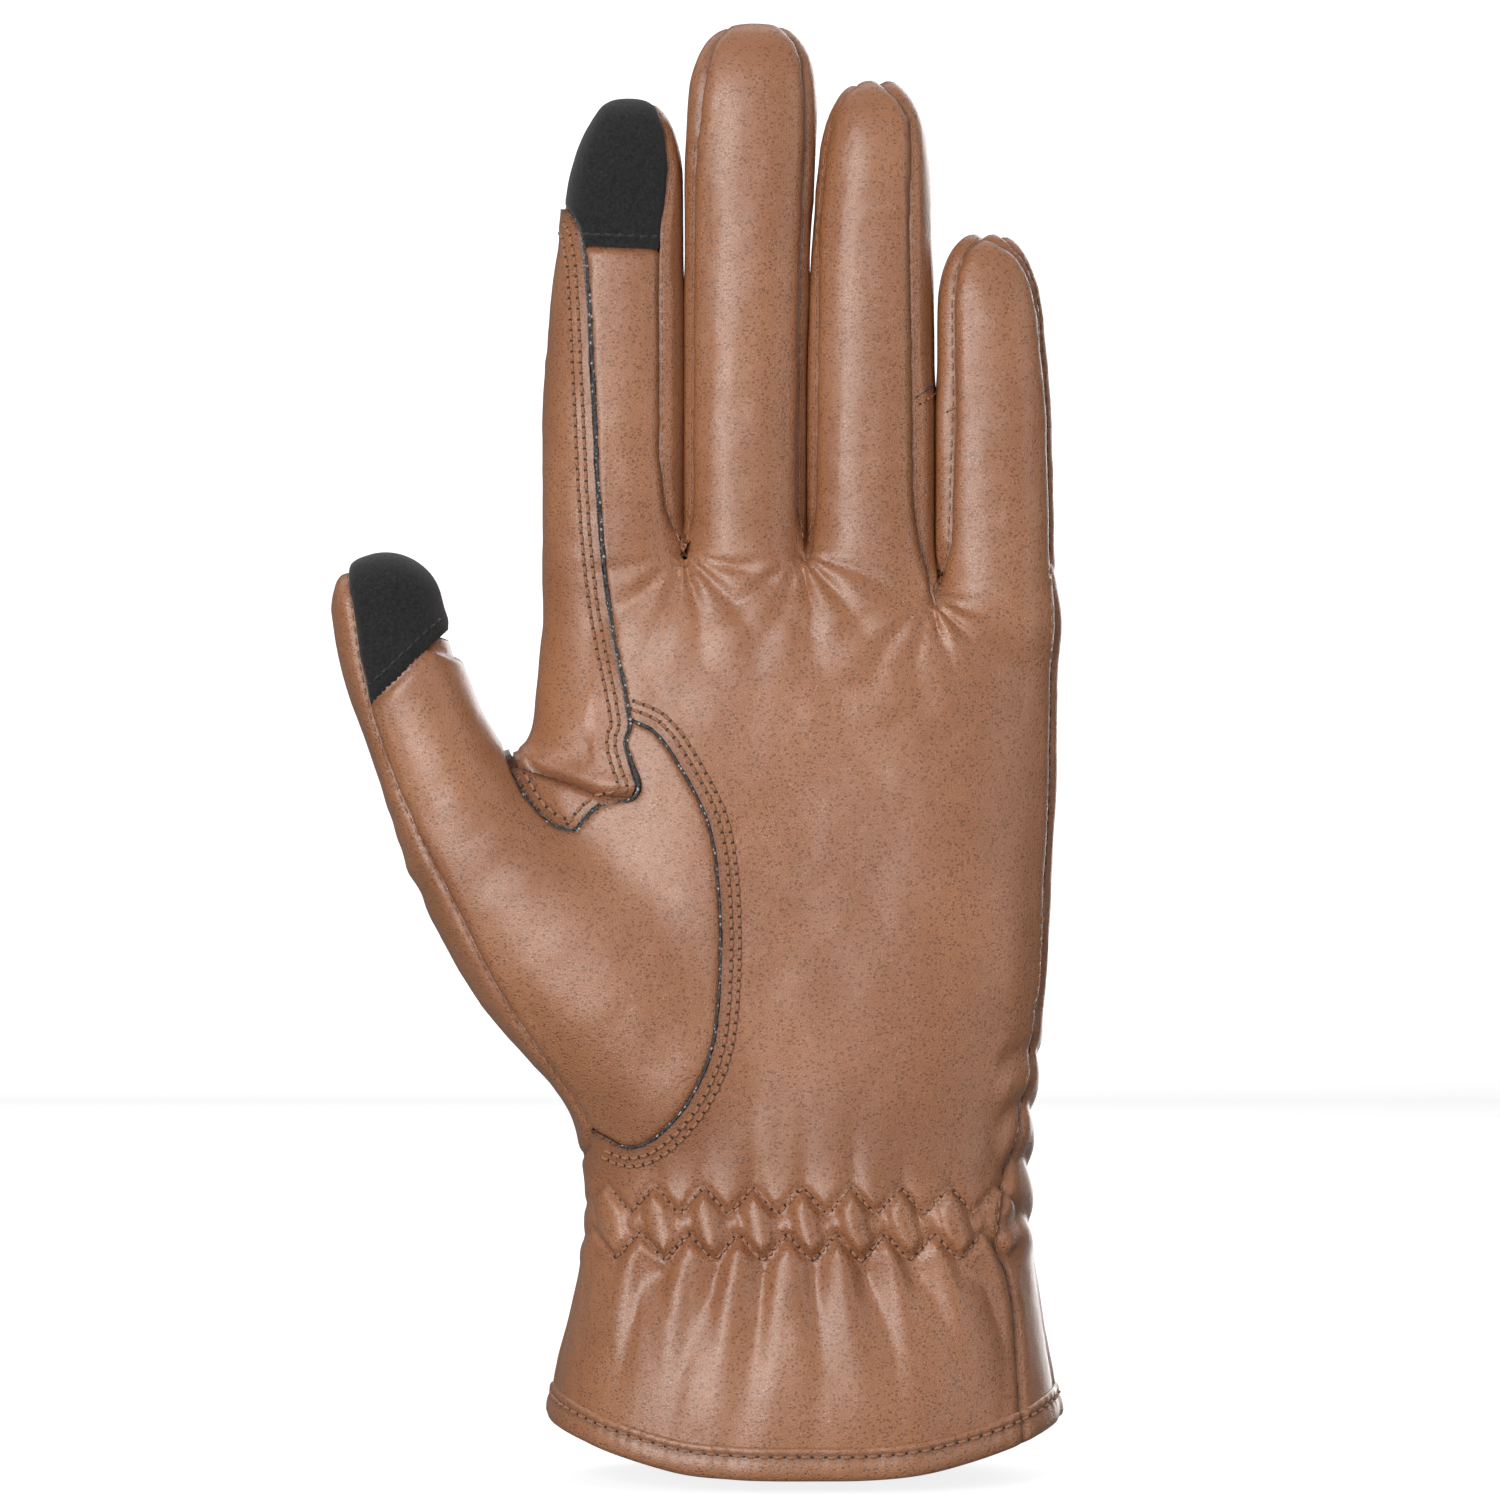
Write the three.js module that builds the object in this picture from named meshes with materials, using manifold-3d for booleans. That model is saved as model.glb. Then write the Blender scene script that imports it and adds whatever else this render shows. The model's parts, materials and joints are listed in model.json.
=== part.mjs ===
// Left-hand leather glove with touchscreen finger pads, palm facing -Y, fingers up (+Z).
// A hollow glove form is skinned from cross sections, cut at every knuckle line, and each
// length is then divided along its seams into the leather pieces it is sewn from.
import * as THREE from 'three';
import { mergeVertices } from 'three/addons/utils/BufferGeometryUtils.js';
import Module from 'manifold-3d';

const wasm = await Module();
wasm.setup();

// ---- driving dimensions, millimetres --------------------------------------------------
const LEATHER = 1.2;             // leather thickness
const GAP = 0.3;                 // clearance between neighbouring pieces
const FAR = 300;                 // reach of cutting blocks
const BODY_STEPS = 32;           // points round the palm and cuff
const INNER_STEPS = 24;          // points round their inner face, the lining and the elastic
const DIGIT_STEPS = 16;          // points round a finger or thumb
const INNER_DIGIT_STEPS = 12;    // points round their inner face
const CUFF_CENTRE_X = 18.3;      // middle of the cuff
const HEM_FLAT = 8;              // half width of the level part of the hem
const HEM_START = -61.7;         // hem outline stations, two of them at the ends of the level part
const HEM_STEP = 8;
const HEM_REACH = 44;            // from the cuff middle to its side edge
const HEM_RISE = 8;              // how far the hem rises at the sides
const BINDING_HEIGHT = 5.7;
const BINDING_THICK = 0.8;
const ELASTIC_LOW = 36;
const ELASTIC_HIGH = 49.5;
const ELASTIC_THICK = 1.0;
const LINING_THICK = 0.5;
const THREAD = 0.45;             // radius of the zigzag thread
const ZIGZAG_PITCH = 8.3;
const ZIGZAG_HALF_HEIGHT = 2.2;
const ZIGZAG_SLANT = 1.47;       // upright thread section over its round one, on a leg
const SIDE_SEAM_Y = -6;          // little finger side, where palm and back leather meet

// Cross sections of palm and cuff: height, left edge, right edge, palm face, back face.
const BODY = [
  [-5, -25.2, 61.8, -26.0, 26.0],
  [0, -25.1, 61.6, -26.0, 26.0],
  [13, -24.9, 61.3, -25.3, 25.3],
  [23, -22.6, 59.2, -23.2, 23.2],
  [36, -20.0, 57.4, -20.7, 20.7],
  [48, -19.0, 56.6, -19.4, 19.4],
  [58, -20.3, 57.3, -19.3, 19.3],
  [70, -23.5, 58.0, -18.8, 18.2],
  [84, -26.5, 59.3, -18.2, 16.6],
  [100, -28.0, 60.4, -17.2, 15.2],
  [120, -28.4, 61.4, -15.2, 14.2],
  [140, -27.3, 61.1, -13.2, 12.9],
  [152, -26.6, 61.1, -11.7, 11.7],
  [158, -26.5, 61.0, -10.9, 10.9],
];

// Cross sections of each finger in the same order, from inside the palm to the tip.
const FINGERS = {
  index: {
    sections: [
      [148, -26.0, -3.0, -10.4, 10.4],
      [160, -26.5, -2.6, -10.5, 10.5],
      [181, -26.6, -2.5, -10.3, 10.3],
      [201, -24.9, -2.5, -9.9, 9.9],
      [213, -23.0, -2.5, -9.5, 9.5],
      [222, -21.5, -2.7, -8.6, 9.0],
      [228, -19.4, -4.0, -7.0, 7.9],
      [231.5, -16.6, -5.8, -4.6, 5.8],
      [233.2, -13.0, -8.6, -2.2, 3.0],
    ],
    knuckles: [168.5, 186, 212],
    seams: { palm: -6, back: 6 },
    edge: [[-16.4, 168], [-17.6, 186], [-19.5, 208.5], [-20.5, 240]],
  },
  middle: {
    sections: [
      [148, -2.0, 18.0, -10.7, 10.9],
      [160, -2.1, 18.3, -10.8, 11.0],
      [190, -2.0, 18.5, -10.5, 10.8],
      [210, -2.0, 19.2, -10.1, 10.3],
      [225, -2.1, 20.2, -9.8, 9.8],
      [234, -1.5, 20.3, -9.0, 9.2],
      [240, 0.0, 19.0, -7.4, 8.0],
      [244.3, 3.2, 15.8, -4.8, 5.6],
      [246.2, 6.8, 12.2, -2.2, 2.8],
    ],
    knuckles: [169, 190, 217],
    seams: { palm: -6, back: 6 },
  },
  ring: {
    sections: [
      [148, 18.9, 40.0, -10.4, 10.5],
      [160, 18.8, 40.2, -10.5, 10.7],
      [190, 19.0, 40.3, -10.2, 10.5],
      [210, 19.7, 40.1, -9.8, 10.1],
      [222, 20.7, 39.5, -9.3, 9.5],
      [229, 21.2, 38.0, -8.0, 8.6],
      [234, 22.8, 35.4, -5.2, 6.2],
      [236.6, 26.0, 32.0, -2.2, 2.8],
    ],
    knuckles: [169, 188.5, 212.5],
    seams: { palm: -6, back: 6 },
  },
  little: {
    sections: [
      [140, 41.0, 60.9, -10.2, 10.4],
      [152, 41.0, 61.0, -9.8, 10.0],
      [181, 40.9, 60.3, -9.3, 9.6],
      [197, 40.9, 58.8, -8.6, 8.8],
      [204, 42.0, 57.6, -7.4, 7.8],
      [208.3, 45.0, 55.4, -5.0, 5.8],
      [210.6, 48.6, 52.4, -2.2, 2.8],
    ],
    knuckles: [159, 176, 193.5],
    seams: { palm: -5.4, back: 5.6 },
  },
};
const KNUCKLE_Y = -4;                       // the bending line runs nearer the palm
const KNUCKLE_RADII = [8.4, 8.4, 7.2];      // rolling radius of base, middle and tip joints

// The thumb: centre line x, y, z then half width and half depth at each station.
const THUMB = [
  [-4, -3.5, 66, 15, 13.5],
  [-16, -4, 78, 17.5, 14.5],
  [-28.5, -4.5, 93, 16.2, 13.8],
  [-38.5, -5, 108, 12.6, 12],
  [-44.8, -5, 122, 10.4, 10.8],
  [-49.6, -5, 135, 9.9, 10.3],
  [-53.1, -5, 146, 9.6, 9.6],
  [-54.7, -5, 152, 7.4, 7.6],
  [-55.4, -5, 154.6, 4.4, 4.4],
  [-55.7, -5, 155.8, 2, 2],
];
const THUMB_JOINTS = [
  { at: [-40.2, -8, 112], radius: 9.6 },
  { at: [-48.3, -8, 131.5], radius: 8 },
];
const THUMB_AXIS = [0.9, 0, 0.436];         // bending line of both thumb joints
const THUMB_SEAM_Y = -3;                    // where the thumb's palm and back leather meet

const WRIST = { y: 0, z: 63, radius: 21.6 };

// Seam lines on the palm, x and z.
const INDEX_EDGE = [[-20.5, 240], [-19.5, 208.5], [-17.6, 186], [-16.4, 168], [-15.2, 145.5],
  [-12, 128.5], [-10.5, 116]];
const WEB_FOLD = [[-10.5, 116], [-20, 115.5], [-30, 119.5], [-32.5, 121]];
const GUSSET_EDGE = [[-32.5, 121], [-20.8, 109.8], [-10.5, 116]];
const THENAR_EDGE = [[-10.5, 116], [-12, 128.5], [-6, 125.5], [0.5, 115], [3.5, 101.5],
  [4.5, 89], [3, 74], [-1, 64], [-7, 57], [-11.5, 53]];

const COLOURS = {
  leather: new THREE.MeshStandardMaterial({ color: '#aa7d61', roughness: 0.5, metalness: 0 }),
  suede: new THREE.MeshStandardMaterial({ color: '#2b2a2a', roughness: 0.95, metalness: 0 }),
  thread: new THREE.MeshStandardMaterial({ color: '#8a5c3c', roughness: 0.8, metalness: 0 }),
  elastic: new THREE.MeshStandardMaterial({ color: '#6b5646', roughness: 0.9, metalness: 0 }),
  lining: new THREE.MeshStandardMaterial({ color: '#4b4644', roughness: 0.95, metalness: 0 }),
};

// ---- solids ---------------------------------------------------------------------------
function solid(geometry) {
  const plain = geometry.clone();
  plain.deleteAttribute('normal');
  plain.deleteAttribute('uv');
  const merged = mergeVertices(plain, 1e-4);
  const mesh = new wasm.Mesh({
    numProp: 3,
    vertProperties: new Float32Array(merged.attributes.position.array),
    triVerts: new Uint32Array(merged.index.array),
  });
  return new wasm.Manifold(mesh);
}

function block(x0, x1, y0, y1, z0, z1) {
  const geometry = new THREE.BoxGeometry(x1 - x0, y1 - y0, z1 - z0);
  geometry.translate((x0 + x1) / 2, (y0 + y1) / 2, (z0 + z1) / 2);
  return solid(geometry);
}

// An outline of x, z points carried along Y from y0 to y1.
function prism(outline, y0, y1) {
  const shape = new THREE.Shape(outline.map(([x, z]) => new THREE.Vector2(x, z)));
  const geometry = new THREE.ExtrudeGeometry(shape, { depth: y1 - y0, bevelEnabled: false });
  geometry.rotateX(Math.PI / 2);
  geometry.translate(0, y1, 0);
  return solid(geometry);
}

// A rod round a hinge line, with a half block above it: everything that turns with the hinge.
function turningSide({ at, axis, radius, reach, grow }) {
  const along = new THREE.Vector3(...axis).normalize();
  const up = new THREE.Vector3(-along.z, 0, along.x);
  const out = new THREE.Vector3().crossVectors(up, along);
  const basis = new THREE.Matrix4().makeBasis(along, out, up);
  basis.setPosition(...at);
  const rod = new THREE.CylinderGeometry(radius + grow, radius + grow, 2 * reach, 24);
  rod.rotateZ(Math.PI / 2);
  rod.applyMatrix4(basis);
  const half = new THREE.BoxGeometry(2 * reach, 2 * FAR, FAR);
  half.translate(0, 0, FAR / 2 - grow);
  half.applyMatrix4(basis);
  return solid(rod).add(solid(half));
}

function ring(centre, across, depth, halfWidth, halfDepth, steps, fullness) {
  const points = [];
  for (let i = 0; i < steps; i += 1) {
    const angle = (2 * Math.PI * i) / steps;
    const c = Math.cos(angle);
    const s = Math.sin(angle);
    const u = Math.sign(c) * Math.abs(c) ** (2 / fullness) * halfWidth;
    const v = Math.sign(s) * Math.abs(s) ** (2 / fullness) * halfDepth;
    points.push(centre.clone().addScaledVector(across, u).addScaledVector(depth, v));
  }
  return points;
}

// Skins a run of rings and closes both ends.
function skin(rings) {
  const steps = rings[0].length;
  const positions = [];
  const middle = (points) => points
    .reduce((sum, p) => sum.add(p), new THREE.Vector3())
    .divideScalar(points.length);
  rings.forEach((points) => points.forEach((p) => positions.push(...p.toArray())));
  const first = rings.length * steps;
  positions.push(...middle(rings[0]).toArray());
  positions.push(...middle(rings[rings.length - 1]).toArray());
  const index = [];
  for (let j = 0; j < steps; j += 1) {
    const next = (j + 1) % steps;
    for (let i = 0; i + 1 < rings.length; i += 1) {
      const a = i * steps + j;
      const b = i * steps + next;
      index.push(a, b, b + steps, a, b + steps, a + steps);
    }
    const top = (rings.length - 1) * steps;
    index.push(first, next, j, first + 1, top + j, top + next);
  }
  const geometry = new THREE.BufferGeometry();
  geometry.setAttribute('position', new THREE.Float32BufferAttribute(positions, 3));
  geometry.setIndex(index);
  return solid(geometry);
}

const X = new THREE.Vector3(1, 0, 0);
const Y = new THREE.Vector3(0, 1, 0);
const Z = new THREE.Vector3(0, 0, 1);

// Palm and cuff, or a finger, drawn in by the given inset.
function upright(sections, inset, steps, fullness, closedTop) {
  const top = sections[sections.length - 1][0];
  return skin(sections.map(([z, left, right, palm, back]) => {
    const nearTip = closedTop ? Math.max(0, 1 - (top - z) / 8) : 0;
    const centre = new THREE.Vector3((left + right) / 2, (palm + back) / 2, z - inset * nearTip);
    const halfWidth = (right - left) / 2 - inset;
    const halfDepth = (back - palm) / 2 - inset;
    return ring(centre, X, Y, halfWidth, halfDepth, steps, fullness);
  }));
}

function thumb(inset, steps) {
  const centres = THUMB.map(([x, y, z]) => new THREE.Vector3(x, y, z));
  return skin(THUMB.map(([, , , halfWidth, halfDepth], i) => {
    const before = centres[Math.max(0, i - 1)];
    const after = centres[Math.min(centres.length - 1, i + 1)];
    const along = after.clone().sub(before).normalize();
    const across = new THREE.Vector3().crossVectors(Y, along).normalize();
    const nearTip = Math.max(0, Math.min(1, (centres[i].z - 146) / 8));
    const centre = centres[i].clone().addScaledVector(along, -inset * nearTip);
    return ring(centre, across, Y, halfWidth - inset, halfDepth - inset, steps, 2.2);
  }));
}

// The whole glove form drawn in by the given inset; an inset form runs out of the cuff.
function gloveForm(inset, bodySteps, digitSteps) {
  const open = BODY.map((section, i) => (i === 0 && inset > 0 ? [-9, ...section.slice(1)] : section));
  let form = upright(open, inset, bodySteps, 2.5, false).add(thumb(inset, digitSteps));
  Object.values(FINGERS).forEach(({ sections }) => {
    form = form.add(upright(sections, inset, digitSteps, 2.6, true));
  });
  return form;
}

// Height of the hem at a distance across the cuff.
function hemHeight(x) {
  const past = Math.max(0, Math.abs(x - CUFF_CENTRE_X) - HEM_FLAT) / (HEM_REACH - HEM_FLAT);
  return HEM_RISE * past ** 2;
}

// Everything between two distances above the hem line.
function hemBand(low, high) {
  const xs = [];
  for (let x = HEM_START; x <= 100; x += HEM_STEP) {
    xs.push(x);
  }
  const lower = xs.map((x) => [x, hemHeight(x) + low]);
  const upper = xs.map((x) => [x, hemHeight(x) + high]).reverse();
  return prism([...lower, ...upper], -60, 60);
}

// The part of a solid that is one body: crumbs left by a cut are dropped.
function largest(cut) {
  const pieces = cut.decompose().sort((a, b) => b.volume() - a.volume());
  return pieces[0];
}

// ---- the glove ------------------------------------------------------------------------
const glove = new THREE.Group();
glove.name = 'touchscreen_glove';

function add(name, shape, material) {
  const cut = largest(shape).getMesh();
  const geometry = new THREE.BufferGeometry();
  geometry.setAttribute('position', new THREE.BufferAttribute(cut.vertProperties, 3));
  geometry.setIndex(new THREE.BufferAttribute(cut.triVerts, 1));
  geometry.computeVertexNormals();
  const mesh = new THREE.Mesh(geometry, COLOURS[material]);
  mesh.name = name;
  glove.add(mesh);
}

const inside = gloveForm(LEATHER, INNER_STEPS, INNER_DIGIT_STEPS);
const shell = gloveForm(0, BODY_STEPS, DIGIT_STEPS).subtract(inside);

const wristTurn = (grow) => turningSide({
  at: [CUFF_CENTRE_X, WRIST.y, WRIST.z], axis: [1, 0, 0], radius: WRIST.radius, reach: 120, grow,
});

function fingerTurn(name, level, grow) {
  const { sections, knuckles } = FINGERS[name];
  const left = Math.min(...sections.map((s) => s[1]));
  const right = Math.max(...sections.map((s) => s[2]));
  return turningSide({
    at: [(left + right) / 2, KNUCKLE_Y, knuckles[level]],
    axis: [1, 0, 0],
    radius: KNUCKLE_RADII[level],
    reach: (right - left) / 2 + 0.15,
    grow,
  });
}

const thumbTurn = (level, grow) => turningSide({
  at: THUMB_JOINTS[level].at, axis: THUMB_AXIS, radius: THUMB_JOINTS[level].radius, reach: 14.5, grow,
});

// Lengths of each digit, from one bending line to the next.
function lengthsOf(whole, turn) {
  const lengths = [];
  for (let level = 0; level < 3; level += 1) {
    const from = turn(level, 0);
    const to = turn(level + 1, GAP);
    if (from) {
      let length = whole.intersect(from);
      if (to) {
        length = length.subtract(to);
      }
      lengths.push(length);
    }
  }
  return lengths;
}

// ---- fingers --------------------------------------------------------------------------
Object.entries(FINGERS).forEach(([name, { seams, edge }]) => {
  const turn = (level, grow) => (level < 3 ? fingerTurn(name, level, grow) : null);
  const lengths = lengthsOf(shell, turn);
  const middleX = (FINGERS[name].sections[1][1] + FINGERS[name].sections[1][2]) / 2;
  const palmSide = block(-FAR, FAR, -FAR, seams.palm, 0, FAR);
  const backSide = block(-FAR, FAR, seams.back, FAR, 0, FAR);
  const between = block(-FAR, FAR, seams.palm + GAP, seams.back - GAP, 0, FAR);
  const leftHalf = block(-FAR, middleX, -FAR, FAR, 0, FAR);
  const rightHalf = block(middleX, FAR, -FAR, FAR, 0, FAR);
  const sideOfEdge = edge && prism(
    [...edge, [-80, 240], [-80, 100], [-16.4, 100]],
    -60,
    seams.back - GAP,
  );
  const palmOfEdge = edge && prism(
    [...edge.map(([x, z]) => [x + GAP, z]), [40, 240], [40, 100], [-16.1, 100]],
    -60,
    60,
  );
  ['proximal', 'middle', 'tip'].forEach((part, level) => {
    const length = lengths[level];
    const stem = `${name}_${part}`;
    if (part === 'tip') {
      const front = length.intersect(block(-FAR, FAR, -FAR, 1, 0, FAR));
      const rear = length.intersect(block(-FAR, FAR, 1 + GAP, FAR, 0, FAR));
      const pad = name === 'index' ? 'index_touch_cap' : `${stem}_palm`;
      add(pad, front, name === 'index' ? 'suede' : 'leather');
      add(`${stem}_back`, rear, 'leather');
      return;
    }
    add(`${stem}_back`, length.intersect(backSide), 'leather');
    add(`${stem}_fourchette_right`, length.intersect(between).intersect(rightHalf), 'leather');
    if (edge) {
      add(`${stem}_side_panel`, length.intersect(sideOfEdge), 'leather');
      add(`${stem}_palm`, length.intersect(palmSide).intersect(palmOfEdge), 'leather');
    } else {
      add(`${stem}_fourchette_left`, length.intersect(between).intersect(leftHalf), 'leather');
      add(`${stem}_palm`, length.intersect(palmSide), 'leather');
    }
  });
});

// ---- thumb ----------------------------------------------------------------------------
const thumbLengths = lengthsOf(shell, (level, grow) => (level < 2 ? thumbTurn(level, grow) : null));
const thumbFront = block(-FAR, FAR, -FAR, THUMB_SEAM_Y, 0, FAR);
const thumbRear = block(-FAR, FAR, THUMB_SEAM_Y + GAP, FAR, 0, FAR);
add('thumb_proximal_palm', thumbLengths[0].intersect(thumbFront), 'leather');
add('thumb_proximal_back', thumbLengths[0].intersect(thumbRear), 'leather');
add('thumb_touch_cap', thumbLengths[1].intersect(thumbFront), 'suede');
add('thumb_tip_back', thumbLengths[1].intersect(thumbRear), 'leather');

// ---- hand -----------------------------------------------------------------------------
let hand = shell.intersect(wristTurn(0));
Object.keys(FINGERS).forEach((name) => {
  hand = hand.subtract(fingerTurn(name, 0, GAP));
});
hand = hand.subtract(thumbTurn(0, GAP)).subtract(block(40.45, 40.75, -30, 30, 150.6, 170));

const front = [-60, SIDE_SEAM_Y];
const indexSide = prism([...INDEX_EDGE, ...WEB_FOLD.slice(1), [-60, 121], [-60, 240]], -60, 5.7);
const gusset = prism([...WEB_FOLD, ...GUSSET_EDGE.slice(1, -1)], -60, 5.7);
const thumbBase = prism([...GUSSET_EDGE, ...THENAR_EDGE.slice(1), [-60, 53], [-60, 121]], -60, 0);
const grown = (outline, by) => outline.map(([x, z]) => [x + by, z]);
const foldLowered = WEB_FOLD.slice(1).map(([x, z]) => [x, z - GAP]);
const indexSideGrown = prism(
  [...grown(INDEX_EDGE, GAP), ...foldLowered, [-60, 120], [-60, 240]],
  -60,
  6,
);
const thumbBaseGrown = prism(
  [...GUSSET_EDGE, ...grown(THENAR_EDGE.slice(1), GAP), [-60, 53], [-60, 121.4]],
  -60,
  0.3,
);
const gussetGrown = prism(
  [[-34, 121.8], [-20.8, 109.4], [-10, 115.7], [-10, 116.4], [-20, 115.9], [-30, 119.9], [-32.5, 122]],
  -60,
  6,
);
add('index_side_panel', hand.intersect(indexSide).subtract(gussetGrown), 'leather');
add('thumb_gusset', hand.intersect(gusset), 'leather');
add('thumb_base_panel', hand.intersect(thumbBase).subtract(gussetGrown), 'leather');
const palmLeather = hand
  .intersect(block(-FAR, FAR, front[0], front[1], 0, FAR))
  .subtract(indexSideGrown)
  .subtract(thumbBaseGrown)
  .subtract(gussetGrown);
add('palm_panel', palmLeather, 'leather');
const backLeather = hand
  .subtract(block(-FAR, FAR, -FAR, front[1] + GAP, 0, FAR))
  .subtract(indexSideGrown)
  .subtract(thumbBaseGrown)
  .subtract(gussetGrown);
add('back_panel', backLeather, 'leather');

// ---- cuff -----------------------------------------------------------------------------
const cuff = shell.subtract(wristTurn(GAP)).intersect(hemBand(1.1, 120));
add('cuff_palm_panel', cuff.intersect(block(-FAR, FAR, -FAR, -0.15, 0, FAR)), 'leather');
add('cuff_back_panel', cuff.intersect(block(-FAR, FAR, 0.15, FAR, 0, FAR)), 'leather');

// A layer of the palm and cuff form between two depths below the leather's face.
const layer = (from, to, outerSteps) => upright(BODY, from, outerSteps, 2.5, false)
  .subtract(upright([[-9, ...BODY[0].slice(1)], ...BODY.slice(1)], to, INNER_STEPS, 2.5, false));
const binding = layer(-BINDING_THICK, LEATHER + BINDING_THICK, BODY_STEPS)
  .intersect(hemBand(0, BINDING_HEIGHT))
  .subtract(layer(-0.1, LEATHER + 0.1, BODY_STEPS).intersect(hemBand(0.9, 40)));
add('hem_binding', binding, 'leather');

const elastic = layer(LEATHER + GAP, LEATHER + GAP + ELASTIC_THICK, INNER_STEPS)
  .intersect(block(-8, 46, -FAR, FAR, ELASTIC_LOW, ELASTIC_HIGH))
  .subtract(wristTurn(2 * GAP));
add('wrist_elastic_palm', elastic.intersect(block(-FAR, FAR, -FAR, -2, 0, FAR)), 'elastic');
add('wrist_elastic_back', elastic.intersect(block(-FAR, FAR, 2, FAR, 0, FAR)), 'elastic');

const lining = layer(LEATHER + GAP, LEATHER + GAP + LINING_THICK, INNER_STEPS);
add('cuff_lining', lining.intersect(hemBand(BINDING_HEIGHT + 0.6, 120))
  .intersect(block(-FAR, FAR, -FAR, FAR, 0, ELASTIC_LOW - 0.5)), 'lining');
add('hand_lining', lining.intersect(block(-FAR, FAR, -FAR, FAR, 76, 148))
  .subtract(thumb(0, DIGIT_STEPS))
  .subtract(thumbTurn(0, 2 * GAP)), 'lining');

// ---- zigzag stitching across the elastic ----------------------------------------------
// The point of the palm-side leather at x, z, standing off by the given distance.
function onPalmSide(x, z, off) {
  const upper = BODY.findIndex((section) => section[0] > z);
  const [a, b] = [BODY[upper - 1], BODY[upper]];
  const t = (z - a[0]) / (b[0] - a[0]);
  const [left, right, palm] = [1, 2, 3].map((k) => a[k] + (b[k] - a[k]) * t);
  const across = Math.abs(x - (left + right) / 2) / ((right - left) / 2);
  return new THREE.Vector3(x, palm * (1 - across ** 2.5) ** (1 / 2.5) - off, z);
}

function zigzag(name, z, shift) {
  const points = [];
  for (let i = 0; i <= 13; i += 1) {
    const x = -7 + shift + (i * ZIGZAG_PITCH) / 2;
    const height = z + (i % 2 ? ZIGZAG_HALF_HEIGHT : -ZIGZAG_HALF_HEIGHT);
    points.push(onPalmSide(x, height, THREAD + 0.35));
  }
  const steep = THREAD * ZIGZAG_SLANT;
  const thread = skin(points.map((point) => ring(point, Y, Z, THREAD, steep, 6, 2)));
  add(name, thread, 'thread');
}
zigzag('zigzag_thread_upper', 46.8, 0);
zigzag('zigzag_thread_lower', 39, 1);

export default glove;
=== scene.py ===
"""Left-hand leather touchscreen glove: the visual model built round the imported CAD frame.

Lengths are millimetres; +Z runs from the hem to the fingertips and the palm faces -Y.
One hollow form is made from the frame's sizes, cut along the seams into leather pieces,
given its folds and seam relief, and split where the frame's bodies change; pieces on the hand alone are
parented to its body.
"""
import json
import math

import bpy
import numpy as np
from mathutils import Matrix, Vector
from mathutils.bvhtree import BVHTree
from mathutils.kdtree import KDTree


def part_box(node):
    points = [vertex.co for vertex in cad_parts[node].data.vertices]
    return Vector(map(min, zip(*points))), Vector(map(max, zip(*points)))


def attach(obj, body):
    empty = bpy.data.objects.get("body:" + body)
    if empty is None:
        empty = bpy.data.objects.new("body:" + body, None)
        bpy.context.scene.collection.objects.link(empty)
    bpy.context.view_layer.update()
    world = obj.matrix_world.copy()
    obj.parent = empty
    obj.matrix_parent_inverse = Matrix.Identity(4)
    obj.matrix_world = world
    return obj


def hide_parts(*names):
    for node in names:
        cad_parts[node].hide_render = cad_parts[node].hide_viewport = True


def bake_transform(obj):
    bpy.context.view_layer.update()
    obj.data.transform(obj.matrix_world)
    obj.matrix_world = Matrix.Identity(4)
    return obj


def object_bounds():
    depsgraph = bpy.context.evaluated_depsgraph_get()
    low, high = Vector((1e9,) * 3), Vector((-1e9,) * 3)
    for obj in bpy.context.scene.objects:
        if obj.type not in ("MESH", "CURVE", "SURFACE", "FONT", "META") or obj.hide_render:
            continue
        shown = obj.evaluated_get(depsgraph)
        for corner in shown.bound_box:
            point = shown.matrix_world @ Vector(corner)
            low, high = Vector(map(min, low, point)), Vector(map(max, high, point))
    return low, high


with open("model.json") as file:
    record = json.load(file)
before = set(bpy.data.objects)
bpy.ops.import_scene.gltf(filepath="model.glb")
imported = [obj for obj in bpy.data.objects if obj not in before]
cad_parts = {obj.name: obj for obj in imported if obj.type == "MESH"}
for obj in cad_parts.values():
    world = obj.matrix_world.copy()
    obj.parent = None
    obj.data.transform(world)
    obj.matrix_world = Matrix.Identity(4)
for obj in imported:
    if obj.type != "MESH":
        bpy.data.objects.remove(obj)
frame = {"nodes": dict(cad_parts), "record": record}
MM = 0.001
HEM_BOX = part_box("hem_binding")
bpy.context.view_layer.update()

# ---- dimensions, millimetres
GRID = 0.8              # spacing of the glove surface
GRID_X, GRID_Y, GRID_Z = (np.arange(*ends, GRID) for ends in ((-72, 76), (-32, 32), (-4, 251)))
LEATHER = 1.0           # how far the leather's turned edges reach inwards
FINGERS = ("index", "middle", "ring", "little")
SPREAD = dict(zip(FINGERS, (-6.0, -2.0, 2.0, 6.0)))   # apart while the skin is formed
TIP_ROUND = 17.0        # length over which a fingertip closes
WRIST_ZONE = (51.0, 73.0)       # heights that bound the wrist zone
ROW_Z = (46.8, 39.0)    # the two zigzag rows over the elastic
ROW_PHASE = (1.1, 6.9)  # x of one peak of each zigzag row
ROW_SWING = 2.35        # a row's peaks and valleys, above and below its middle
PITCH = 8.3             # from one peak to the next
BINDING_SET = 0.8       # the hem binding stands this far outside the cuff
LINING_INSET = 1.5      # the CAD lining lies this far inside the leather
UNDER = 2.4             # how far a lapped piece runs on under its neighbour
CAP_UNDER = 1.2         # how far the leather runs on under a touch cap


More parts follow.
